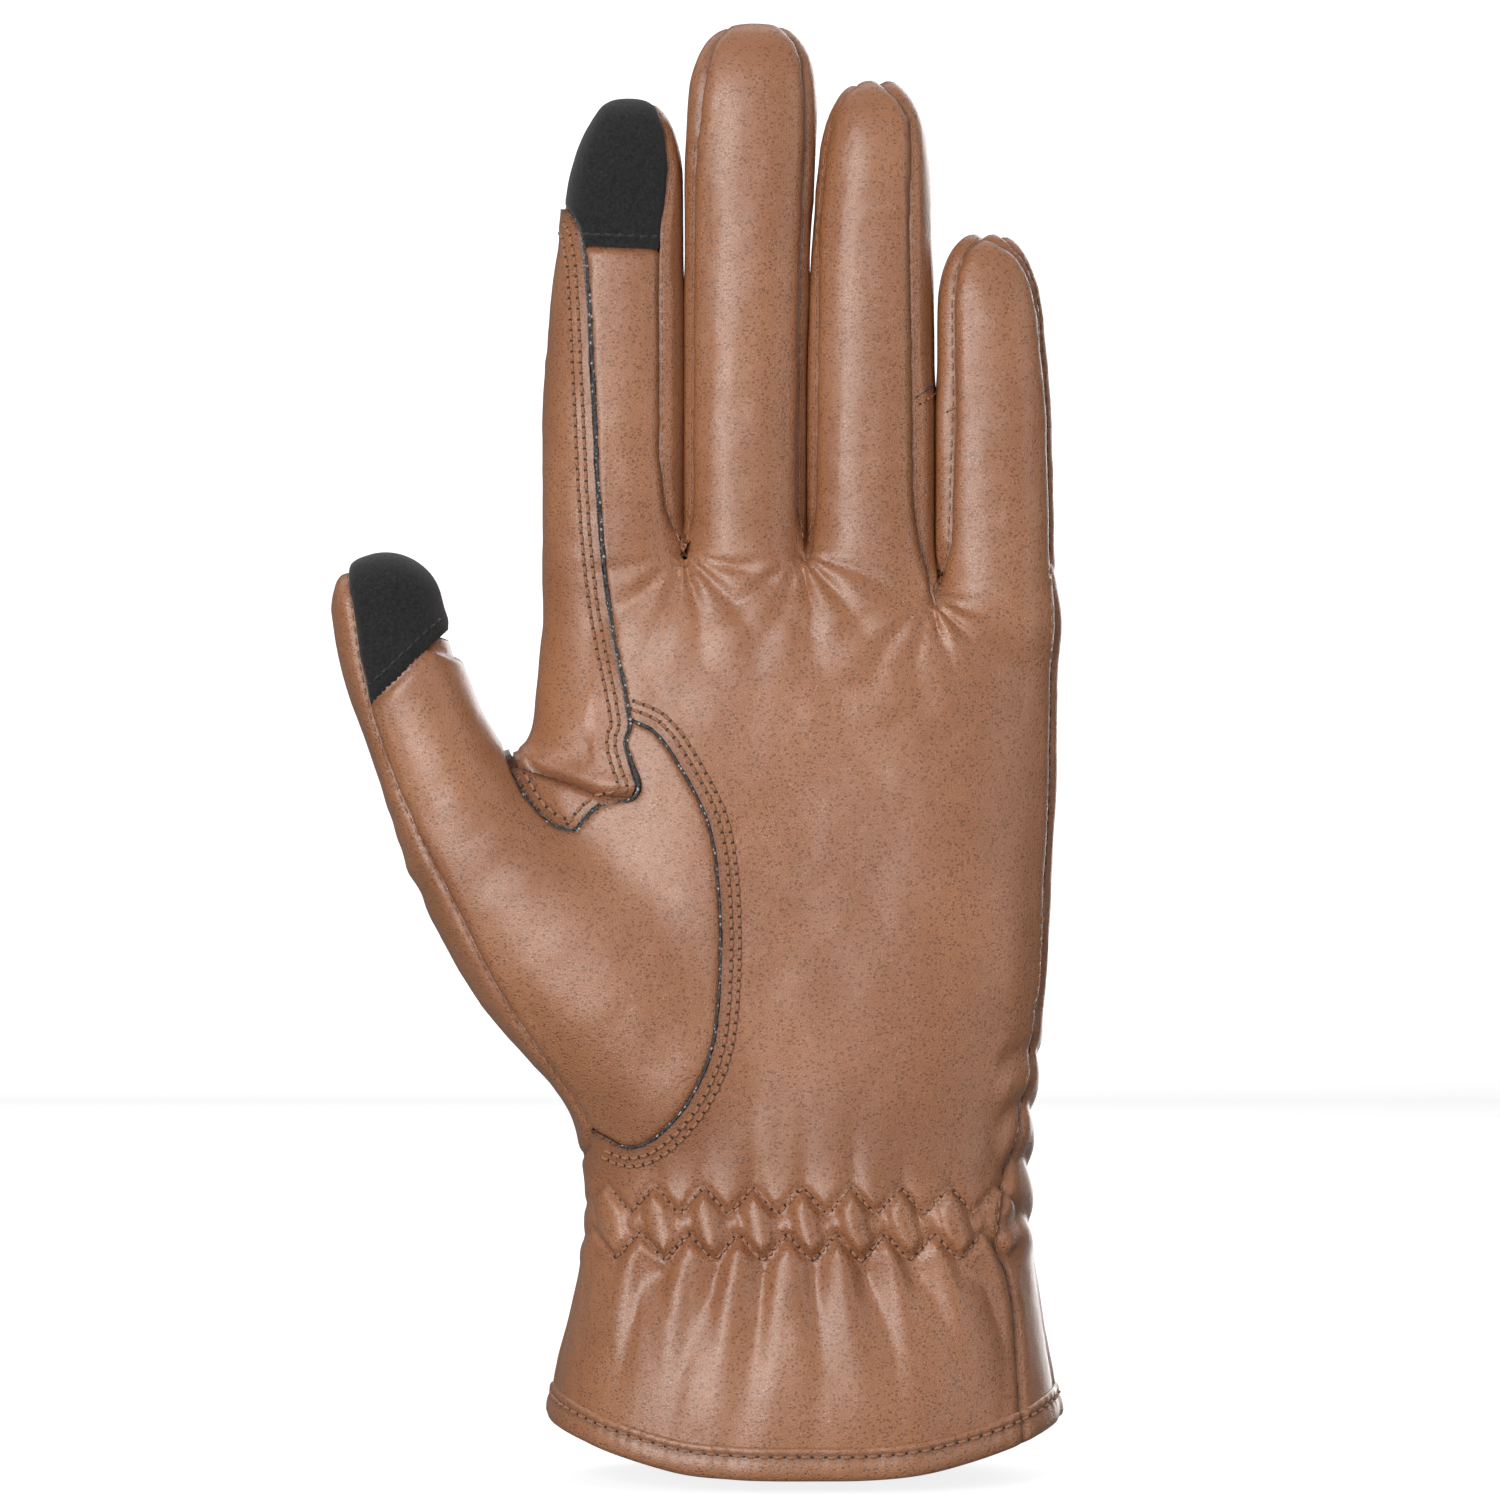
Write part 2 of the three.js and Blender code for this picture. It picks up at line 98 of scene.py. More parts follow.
# ---- reading the CAD frame
def node_mesh(name):
    mesh = frame["nodes"][name].data
    points = np.empty(len(mesh.vertices) * 3, np.float32)
    mesh.vertices.foreach_get("co", points)
    edges = np.empty(len(mesh.edges) * 2, np.int32)
    mesh.edges.foreach_get("vertices", edges)
    return points.reshape(-1, 3).astype(float) / MM, edges.reshape(-1, 2)


NODES = {name: node_mesh(name) for name in frame["nodes"]}
JOINTS = {j["name"]: j for j in frame["record"]["behaviour"]["joints"]}


def joint_at(name):
    return np.array(JOINTS[name]["pos_m"], float) / MM


def slice_box(names, z):
    """Left, right, palm and back limits of CAD pieces where they cross a level."""
    found = []
    for name in names:
        points, edges = NODES[name]
        a, b = points[edges[:, 0]], points[edges[:, 1]]
        cross = (a[:, 2] - z) * (b[:, 2] - z) < 0
        a, b = a[cross], b[cross]
        found.append(a + (b - a) * ((z - a[:, 2]) / (b[:, 2] - a[:, 2]))[:, None])
    p = np.concatenate(found)
    return p[:, 0].min(), p[:, 0].max(), p[:, 1].min(), p[:, 1].max()


def nodes_of(finger):
    return [n for n in NODES if n.startswith(finger) and n != "index_side_panel"]


def levels(names, heights, grow=0.0):
    rows = [slice_box(names, z) for z in heights]
    grown = [(l - grow, r + grow, p - grow, b + grow) for l, r, p, b in rows]
    return np.array([[z, *row] for z, row in zip(heights, grown)])


# Palm and cuff: from the cuff panels low down, from the lining higher up.
HEM_LOW, HEM_HIGH = (np.array(v) / MM for v in HEM_BOX)
CUFF_X = (HEM_LOW[0] + HEM_HIGH[0]) / 2
cuff_nodes = ("cuff_palm_panel", "cuff_back_panel", "palm_panel", "back_panel")
low_rows = levels(cuff_nodes, (10, 16, 23, 30, 36, 42, 48, 52, 58))
foot = [-6, HEM_LOW[0] + BINDING_SET, HEM_HIGH[0] - BINDING_SET,
        HEM_LOW[1] + BINDING_SET, HEM_HIGH[1] - BINDING_SET]
high_rows = levels(("hand_lining",), (76.5, 84, 92, 100, 110, 120, 130, 140, 147.5), LINING_INSET)
crown = high_rows[-1] + [14, 0.2, -0.1, 1.3, -1.3]
BODY = np.vstack([foot, low_rows, high_rows, crown])
stations = np.linspace(-6, BODY[-1, 0], 110)
BODY = np.stack([stations] + [np.interp(stations, BODY[:, 0], BODY[:, k]) for k in range(1, 5)], 1)
for _ in range(5):
    BODY[1:-1, 1:] = (BODY[:-2, 1:] + 2 * BODY[1:-1, 1:] + BODY[2:, 1:]) / 4
sinking = np.clip((BODY[:, 0] - 136) / 24, 0, 1) ** 1.5       # the fingers take over from the palm
BODY[:, 1:] += sinking[:, None] * np.array([3.2, -3.2, 3.2, -3.2])


def resample(points, count):
    """A smooth curve through the rows of a table (Catmull-Rom)."""
    p = np.vstack([2 * points[0] - points[1], points, 2 * points[-1] - points[-2]])
    t = np.linspace(0, len(points) - 1, count)
    i = np.minimum(t.astype(int), len(points) - 2)
    s = (t - i)[:, None]
    a, b, c, d = p[i], p[i + 1], p[i + 2], p[i + 3]
    return 0.5 * (2 * b + (c - a) * s + (2 * a - 5 * b + 4 * c - d) * s ** 2
                  + (3 * b - a - 3 * c + d) * s ** 3)


FINGER = {}
for f in FINGERS:
    tip = max(NODES[n][0][:, 2].max() for n in nodes_of(f))
    low = joint_at(f + "_knuckle")[2] + 1
    rows = levels(nodes_of(f), np.linspace(low, tip - TIP_ROUND, 8))
    last = rows[-1] - rows[-2]
    rows = np.vstack([rows, rows[-1] + last * (TIP_ROUND - 4) / last[0]])
    FINGER[f] = {"tip": tip, "rows": resample(rows, 40)}
CROTCH = {"index": 159.0, "middle": 159.0, "ring": 150.6}      # where the gap right of a finger ends


def smooth(t):
    t = np.clip(t, 0, 1)
    return t * t * (3 - 2 * t)


# ---- the hollow form
def spread_amount(z):
    return smooth((z - 126) / 32)


def spread_table(x, z):
    """How far each point of an x, z sheet is moved sideways while the fingers stand apart."""
    out = np.zeros((len(x), len(z)))
    for k, height in enumerate(z):
        s = spread_amount(height)
        if s == 0:
            continue
        knots, values = [], []
        for f in FINGERS:
            rows = FINGER[f]["rows"]
            level = min(max(height, rows[0, 0]), rows[-1, 0])
            left = np.interp(level, rows[:, 0], rows[:, 1])
            right = np.interp(level, rows[:, 0], rows[:, 2])
            shift = SPREAD[f] * s
            knots += [left + shift, right + shift]
            values += [shift, shift]
        out[:, k] = np.interp(x, knots, values)
    return out


def column(x, y, z, rows, n, tip=None):
    """Signed distance to a column of superellipse sections of power n; x is the true position."""
    at = np.clip(z, rows[0, 0], rows[-1, 0])
    left, right, palm, back = (np.interp(at, rows[:, 0], rows[:, k]) for k in (1, 2, 3, 4))
    a, b = (right - left) / 2, (back - palm) / 2
    u = np.abs(x - (left + right) / 2) / a
    v = np.abs(y - (palm + back) / 2) / b
    total = u ** n + v ** n
    gx, gy, gz = u ** (n - 1) / a, v ** (n - 1) / b, 0.0
    if tip is not None:
        w = np.clip((z - (tip - TIP_ROUND)) / TIP_ROUND, 0, None)
        total = total + w ** n
        gz = w ** (n - 1) / TIP_ROUND
    total = np.maximum(total, 1e-9)
    value = total ** (1 / n)
    slope = total ** ((1 - n) / n) * np.sqrt(gx ** 2 + gy ** 2 + gz ** 2)
    return (value - 1) / np.maximum(slope, 1e-3)


THUMB_BASE, THUMB_TIP = joint_at("thumb_base_joint"), joint_at("thumb_tip_joint")
thumb_top = NODES["thumb_touch_cap"][0][:, 2].max()
thumb_left = NODES["thumb_touch_cap"][0][:, 0].min()
THUMB_Y = -5.0
# Centre line x, z with half width and half depth.
THUMB = np.array([
    [THUMB_BASE[0] + 34, THUMB_BASE[2] - 44, 13.0, 12.5],
    [THUMB_BASE[0] + 24, THUMB_BASE[2] - 33, 15.5, 13.5],
    [THUMB_BASE[0] + 12, THUMB_BASE[2] - 18, 15.6, 13.0],
    [THUMB_BASE[0] + 2, THUMB_BASE[2] - 4, 12.6, 11.8],
    [THUMB_BASE[0] - 4.2, THUMB_BASE[2] + 9, 10.6, 10.9],
    [THUMB_TIP[0] - 0.9, THUMB_TIP[2] + 2, 10.2, 10.4],
    [thumb_left + 10.8, thumb_top - 15.5, 9.8, 9.85],
    [thumb_left + 9.4, thumb_top - 9.3, 9.3, 9.3],
])
THUMB_LINE = resample(THUMB, 22)


def nearest_on_line(x, z, line):
    """Distance to a line in x, z, and the other row values at its nearest point."""
    best = np.full(np.shape(x), 1e9)
    values = [np.zeros(np.shape(x)) for _ in range(line.shape[1] - 2)]
    for a, b in zip(line[:-1], line[1:]):
        dx, dz = b[0] - a[0], b[1] - a[1]
        t = np.clip(((x - a[0]) * dx + (z - a[1]) * dz) / (dx * dx + dz * dz), 0, 1)
        dist = np.hypot(x - a[0] - t * dx, z - a[1] - t * dz)
        closer = dist < best
        best = np.where(closer, dist, best)
        for k in range(len(values)):
            values[k] = np.where(closer, a[2 + k] + t * (b[2 + k] - a[2 + k]), values[k])
    return best, values


def thumb_distance(x, y, z):
    dist, (wide, deep) = nearest_on_line(x, z, THUMB_LINE)
    n = 2.2             # power of its superellipse sections
    u, v = dist / wide, np.abs(y - THUMB_Y) / deep
    total = np.maximum(u ** n + v ** n, 1e-9)
    slope = total ** ((1 - n) / n) * np.hypot(u ** (n - 1) / wide, v ** (n - 1) / deep)
    return (total ** (1 / n) - 1) / np.maximum(slope, 1e-3)


def soft_min(a, b, k):
    """The smaller of two distances, with a fillet of about k where they meet."""
    h = np.clip(0.5 + 0.5 * (b - a) / k, 0, 1)
    return b + (a - b) * h - k * h * (1 - h)


def form_field():
    """The glove form on a grid, fingers standing apart. Negative inside."""
    x, y, z = GRID_X, GRID_Y, GRID_Z
    shift = spread_table(x, z)
    X, Y, Z = x[:, None, None], y[None, :, None], z[None, None, :]
    true_x = X - shift[:, None, :]
    field = column(true_x, Y, np.broadcast_to(z, (len(x), len(z)))[:, None, :], BODY, 2.5)
    top_limit = np.interp(true_x, (36, 43), (CROTCH["index"], CROTCH["ring"])) - 1.5
    field = -soft_min(-field, -(Z - top_limit), 5.0)
    body = field.copy()
    for f in FINGERS:
        rows, tip = FINGER[f]["rows"], FINGER[f]["tip"]
        mine = X - SPREAD[f] * spread_amount(Z)
        root = CROTCH.get(f, CROTCH["ring"]) - 3
        k = z > root - 32
        finger = column(mine[:, :, k], Y, np.broadcast_to(z[k], (len(x), 1, k.sum())), rows, 2.6, tip)
        finger = finger + 4.5 * smooth((root - Z[:, :, k]) / 26)
        finger = np.maximum(finger, root - 30 - Z[:, :, k])
        joined = soft_min(body[:, :, k], finger, 3.0)
        field[:, :, k] = np.minimum(field[:, :, k], joined)
    near = (z > 45) & (z < 165)
    thumb = thumb_distance(*np.broadcast_arrays(true_x[:, :, near], Y, Z[:, :, near]))
    out = field.copy()
    out[:, :, near] = soft_min(field[:, :, near], thumb, 9.0)
    return out, (x[0], y[0], z[0])


def surface_nets(field, origin):
    """One vertex in each crossed cell, one quad across each crossed grid edge."""
    cells = tuple(n - 1 for n in field.shape)
    total = int(np.prod(cells))
    sums, count = np.zeros((3, total)), np.zeros(total)
    quads = []
    strides = (cells[1] * cells[2], cells[2], 1)
    for axis in range(3):
        a = np.take(field, range(field.shape[axis] - 1), axis)
        b = np.take(field, range(1, field.shape[axis]), axis)
        crossed = (a < 0) != (b < 0)
        at = np.argwhere(crossed)
        va, vb = a[crossed], b[crossed]
        u, v = [k for k in range(3) if k != axis]
        keep = ((at[:, u] > 0) & (at[:, v] > 0) & (at[:, u] < cells[u]) & (at[:, v] < cells[v]))
        at, va, vb = at[keep], va[keep], vb[keep]
        point = at.astype(float)
        point[:, axis] += va / (va - vb)
        base = at @ np.array(strides)
        corners = [base, base - strides[u], base - strides[u] - strides[v], base - strides[v]]
        for cell in corners:
            for k in range(3):
                sums[k] += np.bincount(cell, point[:, k], total)
            count += np.bincount(cell, minlength=total)
        quad = np.stack(corners, 1)
        flip = (va < 0) != (axis == 1)
        quad[flip] = quad[flip][:, ::-1]
        quads.append(quad)
    used = np.flatnonzero(count)
    index = np.full(total, -1)
    index[used] = np.arange(len(used))
    points = (sums[:, used] / count[used]).T * GRID + np.array(origin)
    return points, index[np.concatenate(quads)]


def neighbours_mean(points, edges, count):
    out = np.empty_like(points)
    for k in range(points.shape[1]):
        out[:, k] = (np.bincount(edges[:, 0], points[edges[:, 1], k], len(points))
                     + np.bincount(edges[:, 1], points[edges[:, 0], k], len(points)))
    return out / count[:, None]


def relax(points, faces, rounds):
    """Smooths without shrinking."""
    edges = np.concatenate([faces[:, [i, (i + 1) % faces.shape[1]]] for i in range(faces.shape[1])])
    edges = np.unique(np.sort(edges, 1), axis=0)
    count = np.maximum(np.bincount(edges.ravel(), minlength=len(points)), 1)
    for i in range(rounds * 2):
        step = 0.55 if i % 2 == 0 else -0.57
        points = points + step * (neighbours_mean(points, edges, count) - points)
    return points


def normals_of(points, triangles):
    a, b, c = (points[triangles[:, k]] for k in range(3))
    face = np.cross(b - a, c - a)
    out = np.zeros_like(points)
    for k in range(3):
        for i in range(3):
            out[:, k] += np.bincount(triangles[:, i], face[:, k], len(points))
    return out / np.maximum(np.linalg.norm(out, axis=1), 1e-12)[:, None]


def unspread(points):
    """Brings the fingers back together and says which finger each point belongs to."""
    x, z = GRID_X, GRID_Z
    table = spread_table(x, z)
    i = np.clip((points[:, 0] - x[0]) / GRID, 0, len(x) - 1.001)
    k = np.clip((points[:, 2] - z[0]) / GRID, 0, len(z) - 1.001)
    i0, k0 = i.astype(int), k.astype(int)
    fi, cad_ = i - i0, k - k0
    shift = (table[i0, k0] * (1 - fi) * (1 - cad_) + table[i0 + 1, k0] * fi * (1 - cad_)
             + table[i0, k0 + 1] * (1 - fi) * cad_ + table[i0 + 1, k0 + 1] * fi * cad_)
    out = points.copy()
    out[:, 0] -= shift
    middles = [FINGER[f]["rows"][0, 1:3].mean() + SPREAD[f] for f in FINGERS]
    owner = np.abs(points[:, :1] - np.array(middles)).argmin(1)
    return out, owner


# ---- seam lines, x and z
INDEX_EDGE = np.array([(-22.9, 215), (-19.6, 208.4), (-18.2, 186), (-17.0, 162), (-15.2, 145.5),
                       (-11.8, 128.5), (-12.6, 124.5), (-11.4, 120.0), (-10.3, 116.4), (-11.6, 114.6)])
WEB_FOLD = np.array([(-8.0, 115.4), (-11.4, 115.0), (-16.4, 115.2), (-22.0, 117.2), (-28.3, 119.2),
                     (-31.0, 119.9), (-32.3, 125.0), (-35.5, 160.0)])
GUSSET_LEFT = np.array([(-36.5, 160.0), (-33.0, 125.0), (-31.4, 119.4), (-29.5, 115.9), (-26.8, 112.3),
                        (-23.7, 110.1), (-20.9, 109.5)])
GUSSET_RIGHT = np.array([(-20.9, 109.5), (-18.7, 112.3), (-16.8, 113.8), (-13.6, 114.5), (-10.3, 116.8)])
THENAR = np.array([(-11.8, 128.5), (-6.2, 125.6), (0.4, 114.9), (2.9, 108), (3.9, 100), (4.3, 89.4),
                   (3.2, 74.1), (-0.9, 64.0), (-6.9, 57.2), (-12.0, 55.2), (-17.4, 57.6)])
THUMB_OUTER = np.array([(-60.5, 156.0), (-58.9, 149.0), (-56.0, 130.6), (-50.4, 114.9), (-41.9, 97.9),
                        (-33.4, 80.9), (-23.6, 67.0), (-18.2, 57.8), (-20.6, 52.0), (-26.0, 47.0)])
CAP_RIGHT = np.array([(-9.5, 236), (-7.2, 232.5), (-5.9, 230.6), (-4.8, 224), (-4.6, 220.5),
                      (-5.2, 215.4), (-6.0, 211), (-6.2, 207.5)])

# Where the seams between finger strips and fourchettes run: height, x on the palm, x on the back.
STRIP_SEAMS = {
    ("index", 1): [(154, -2.3, -2.3), (158, -3.0, -3.0), (164, -5.2, -4.4), (172, -6.1, -4.8),
                   (205, -6.1, -4.6), (212, -5.8, -4.6), (217, -4.9, -4.6), (222, -4.6, -5.2),
                   (228, -5.3, -6.6), (231.5, -6.6, -8.4), (236, -9.5, -10.5)],
    ("middle", -1): [(154, -2.3, -2.3), (158, -1.8, -1.6), (164, -1.2, -0.6), (218, -1.0, 0.2),
                     (226, -0.5, 0.6), (234, 0.5, 1.4), (240, 1.5, 2.8), (243, 2.6, 4.4),
                     (247, 6.0, 7.0)],
    ("middle", 1): [(154, 18.5, 18.5), (158, 18.0, 17.8), (164, 17.2, 16.8), (200, 17.6, 16.8),
                    (226, 18.6, 17.6), (234, 18.6, 17.2), (240, 18.0, 15.6), (243, 16.8, 14.0),
                    (247, 13.0, 12.0)],
    ("ring", -1): [(154, 18.5, 18.5), (158, 19.0, 19.2), (164, 19.7, 20.2), (212, 20.3, 21.4),
                   (224, 21.6, 22.6), (230, 22.8, 24.2), (234, 24.8, 26.2), (237, 28.0, 28.0)],
    ("ring", 1): [(147, 40.4, 40.4), (151, 39.8, 39.6), (158, 37.9, 38.2), (164, 37.1, 38.0),
                  (209, 36.4, 37.8), (224, 36.5, 36.8), (230, 36.2, 35.2), (233.5, 34.2, 33.4),
                  (237, 30.5, 30.5)],
    ("little", -1): [(147, 40.4, 40.4), (151, 41.2, 41.6), (158, 42.6, 43.0), (182, 43.4, 43.6),
                     (198, 43.2, 43.8), (204, 43.8, 45.2), (208, 45.6, 47.2), (211, 49.0, 49.5)],
    ("little", 1): [(149, 62.5, 62.5), (153, 60.6, 60.6), (156, 60.25, 60.0), (160, 60.1, 59.4),
                    (170, 59.9, 58.9), (181, 59.7, 58.6), (190, 59.1, 58.0), (197, 58.5, 57.0),
                    (202, 57.6, 55.6), (206, 56.0, 53.6), (209, 53.5, 52.0), (211.5, 50.5, 50.5)],
}
OUTER_STRIP = ("little", 1)                     # the strip on the little finger's free side
LOW_STRIPS = (("ring", 1), ("little", -1), OUTER_STRIP)
STRIP_FOOT, LOW_STRIP_FOOT = 155.5, 147.5       # heights at which the strips start


def beside(line, x, z):
    """Signed distance to a line in x, z; positive to its right as it is walked."""
    a, b = line[:-1], line[1:]
    best = np.full(len(x), 1e9)
    side = np.zeros(len(x))
    last = len(a) - 1
    for i in range(len(a)):
        dx, dz = b[i] - a[i]
        length = math.hypot(dx, dz)
        low = -50 if i == 0 else 0
        high = 50 if i == last else length
        t = np.clip(((x - a[i, 0]) * dx + (z - a[i, 1]) * dz) / length, low, high)
        px, pz = x - a[i, 0] - t * dx / length, z - a[i, 1] - t * dz / length
        dist = np.hypot(px, pz)
        turn = (dz * (x - a[i, 0]) - dx * (z - a[i, 1])) / length
        closer = dist < best - 1e-9
        best = np.where(closer, dist, best)
        side = np.where(closer, turn, side)
    return np.where(side < 0, -best, best)


def strip_field(finger, hand, x, y, z):
    """Positive on the fourchette side of a finger's seam. hand is 1 right, -1 left."""
    table = np.array(STRIP_SEAMS[finger, hand])
    front = np.interp(z, table[:, 0], table[:, 1])
    rear = np.interp(z, table[:, 0], table[:, 2])
    mix = smooth((y + 2) / 4)
    return hand * (x - (front + (rear - front) * mix))


# ---- cutting a skin along fields
class Skin:
    """Triangles with columns of values at every point: position, normal, finger."""

    def __init__(self, values, triangles):
        used = np.unique(triangles)
        index = np.full(len(values), -1)
        index[used] = np.arange(len(used))
        self.values = values[used]
        self.triangles = index[triangles]

    x = property(lambda self: self.values[:, 0])
    y = property(lambda self: self.values[:, 1])
    z = property(lambda self: self.values[:, 2])
    owner = property(lambda self: self.values[:, 6])

    def cut(self, field, snap=0.14):
        """Two skins, where the field is negative and where it is positive."""
        field = np.array(field, float)
        tri = self.triangles
        if not len(tri):
            return self, self
        pairs = np.sort(np.concatenate([tri[:, [0, 1]], tri[:, [1, 2]], tri[:, [2, 0]]]), 1)
        pairs = np.unique(pairs, axis=0)
        fa, fb = field[pairs[:, 0]], field[pairs[:, 1]]
        cross = fa * fb < 0
        t = fa[cross] / (fa[cross] - fb[cross])
        field[pairs[cross][t < snap, 0]] = 0
        field[pairs[cross][t > 1 - snap, 1]] = 0
        fa, fb = field[pairs[:, 0]], field[pairs[:, 1]]
        cross = fa * fb < 0
        edges = pairs[cross]
        t = (fa / np.where(cross, fa - fb, 1))[cross][:, None]
        fresh = self.values[edges[:, 0]] * (1 - t) + self.values[edges[:, 1]] * t
        fresh[:, 6] = self.values[edges[:, 0], 6]
        count = len(self.values)
        values = np.vstack([self.values, fresh])
        field = np.concatenate([field, np.zeros(len(fresh))])
        key = edges[:, 0] * count + edges[:, 1]

        def between(a, b):
            lo, hi = np.minimum(a, b), np.maximum(a, b)
            return count + np.searchsorted(key, lo * count + hi)

        sign = np.sign(field[tri])
        mixed = (sign.min(1) < 0) & (sign.max(1) > 0)
        sides = {-1: [tri[~mixed & (sign.sum(1) < 0)]], 1: [tri[~mixed & (sign.sum(1) >= 0)]]}
        part, sg = tri[mixed], sign[mixed]
        # one corner on the line: cut through it
        zero = (sg == 0).any(1)
        roll = np.argmax(sg[zero] == 0, 1)
        a, b, c = (part[zero][np.arange(zero.sum()), (roll + k) % 3] for k in range(3))
        m = between(b, c)
        s_b = np.sign(field[b])
        for s in (-1, 1):
            k = s_b == s
            sides[s].append(np.stack([a[k], b[k], m[k]], 1))
            sides[s].append(np.stack([a[~k], m[~k], c[~k]], 1))
        # one corner alone on its side
        rest, sg = part[~zero], sg[~zero]
        lone = np.argmax(sg == -sg.sum(1)[:, None], 1)
        a, b, c = (rest[np.arange(len(rest)), (lone + k) % 3] for k in range(3))
        ab, ac = between(a, b), between(a, c)
        s_a = np.sign(field[a])
        for s in (-1, 1):
            k = s_a == s
            sides[s].append(np.stack([a[k], ab[k], ac[k]], 1))
            k = ~k
            sides[s].append(np.stack([ab[k], b[k], c[k]], 1))
            sides[s].append(np.stack([ab[k], c[k], ac[k]], 1))
        return tuple(Skin(values, np.concatenate(sides[s]).astype(int)) for s in (-1, 1))


def hem_height(x):
    """The hem is level for 8 mm each way from its middle and rises 8 mm towards its sides."""
    past = np.clip((np.abs(x - CUFF_X) - 8) / (HEM_HIGH[0] - BINDING_SET - CUFF_X - 8), 0, None)
    return 8 * past ** 2


def glove_skin():
    field, origin = form_field()
    points, quads = surface_nets(field, origin)
    points = relax(points, quads, 3)
    points, owner = unspread(points)
    tri = np.concatenate([quads[:, [0, 2, 1]], quads[:, [0, 3, 2]]])
    normal = normals_of(points, tri)
    return Skin(np.column_stack([points, normal, owner]), tri)


# ---- which leather is where
RIGHT_SEAM = np.array([(0, 55.5), (10.4, 55.3), (24.6, 54.5), (34, 52.8), (38, 50.9), (43, 51.1),
                       (48.6, 51.8), (56, 54.1), (68, 56.4), (76, 57.2), (83.6, 58.3), (95.5, 58.9),
                       (107, 59.8), (118, 60.2), (145, 60.4), (181, 59.7), (190, 59.1), (197, 58.5),
                       (202, 57.6), (206, 56.0)])
INDEX_CAP_BOTTOM = np.array([(-40.0, 208.4), (-19.6, 208.4), (0.0, 207.6)])
THUMB_CAP_BOTTOM = np.array([(-60.0, 126.5), (-56.0, 130.3), (-42.3, 143.2), (-36.0, 149.1)])
INDEX_EDGE = resample(INDEX_EDGE, 24)
THENAR = resample(THENAR, 26)
THUMB_OUTER = resample(THUMB_OUTER, 18)
RIGHT_SEAM = resample(RIGHT_SEAM, 70)
THUMB_RIGHT = -31.0     # the thumb's leather lies left of this x
THUMB_PANEL_TOP = 131   # the thumb panel ends at this height right of the thumb


def back_field(x, y, z):
    """Positive on the back leather."""
    left_hand = smooth((z - 113) / 8) * (x > -31.5)
    left = 2.0 + 3.5 * left_hand - 1.5 * smooth((66 - z) / 12)
    tip = smooth((z - 206) / 8)
    left = left * (1 - tip) + 1.5 * tip
    seam_y = np.interp(x, (-12, 0, 42, 52), (0, 0, 0, 1))
    seam_y = np.where(x < -8, left, -4.5 * seam_y)
    right = np.where((x > 44) & (y < 0), x - np.interp(z, *RIGHT_SEAM.T), -9)
    thumb = np.where((x < -12) & (y < 3) & (z > 40), beside(THUMB_OUTER, x, z), -9)
    return np.maximum(y - seam_y, np.maximum(right, thumb))


def front_fields(x, z):
    """Distances to the lapped edges, positive on the side named."""
    return {
        "side": beside(INDEX_EDGE, x, z),           # index side panel
        "web": beside(WEB_FOLD, x, z),              # above the fold in the web
        "gusset": np.minimum(-beside(GUSSET_LEFT, x, z), -beside(GUSSET_RIGHT, x, z)),
        "thumb": beside(THENAR, x, z),
        "index_cap": np.minimum(z - np.interp(x, *INDEX_CAP_BOTTOM.T), beside(CAP_RIGHT, x, z)),
        "thumb_cap": -beside(THUMB_CAP_BOTTOM, x, z),
    }


def divide(whole):
    """The leather pieces, each whole from cuff to fingertip."""
    panels = {}
    _, whole = whole.cut(whole.z - hem_height(whole.x) - 1.0)
    for finger, hand in STRIP_SEAMS:
        foot = LOW_STRIP_FOOT if (finger, hand) in LOW_STRIPS else STRIP_FOOT
        inside = (whole.owner == FINGERS.index(finger)) & (whole.z > foot - 3)
        value = np.minimum(strip_field(finger, hand, whole.x, whole.y, whole.z), whole.z - foot)
        name = f"fourchette_{finger}_{'right' if hand > 0 else 'left'}"
        whole, panels[name] = whole.cut(np.where(inside, value, -2.0))
    front, panels["back"] = whole.cut(back_field(whole.x, whole.y, whole.z))
    f = front_fields(front.x, front.z)
    panels["index_cap"] = front.cut(np.minimum(f["index_cap"], UNDER - f["side"]))[1]
    side = np.minimum(f["side"], f["web"])
    panels["side"] = front.cut(side)[1]
    panels["gusset"] = front.cut(np.minimum(UNDER - f["web"], f["gusset"]))[1]
    palm = np.minimum(UNDER - f["side"], -f["thumb"])
    panels["palm"] = front.cut(np.minimum(palm, CAP_UNDER - f["index_cap"]))[1]
    thumb = np.minimum(UNDER + f["thumb"], UNDER - np.minimum(f["gusset"], -f["web"]))
    top = np.minimum(THUMB_PANEL_TOP - front.z + 40 * (front.x < THUMB_RIGHT + 1), 60)
    thumb = np.minimum(np.minimum(thumb, UNDER - side), top)
    cap = np.minimum(f["thumb_cap"], THUMB_RIGHT - front.x)
    panels["thumb_cap"] = front.cut(cap)[1]
    panels["thumb"] = front.cut(np.minimum(thumb, CAP_UNDER - cap))[1]
    return panels


WEB_NORMAL = np.array([-0.568, 0.823])      # the thumb's direction, x and z
WEB_POINT = np.array([-31.0, 119.5])


def past_web(x, z):
    """How far a point lies along the thumb, from its web on."""
    return (x - WEB_POINT[0]) * WEB_NORMAL[0] + (z - WEB_POINT[1]) * WEB_NORMAL[1]


# ---- relief
def hashed(i, j, k, seed):
    """A fixed value between -1 and 1 for each grid point."""
    h = (i * 374761393 + j * 668265263 + k * 2147483647 + seed * 974634777) & 0xFFFFFFFF
    h = ((h ^ (h >> 13)) * 1274126177) & 0xFFFFFFFF
    return ((h ^ (h >> 16)) & 0xFFFF) / 32767.5 - 1


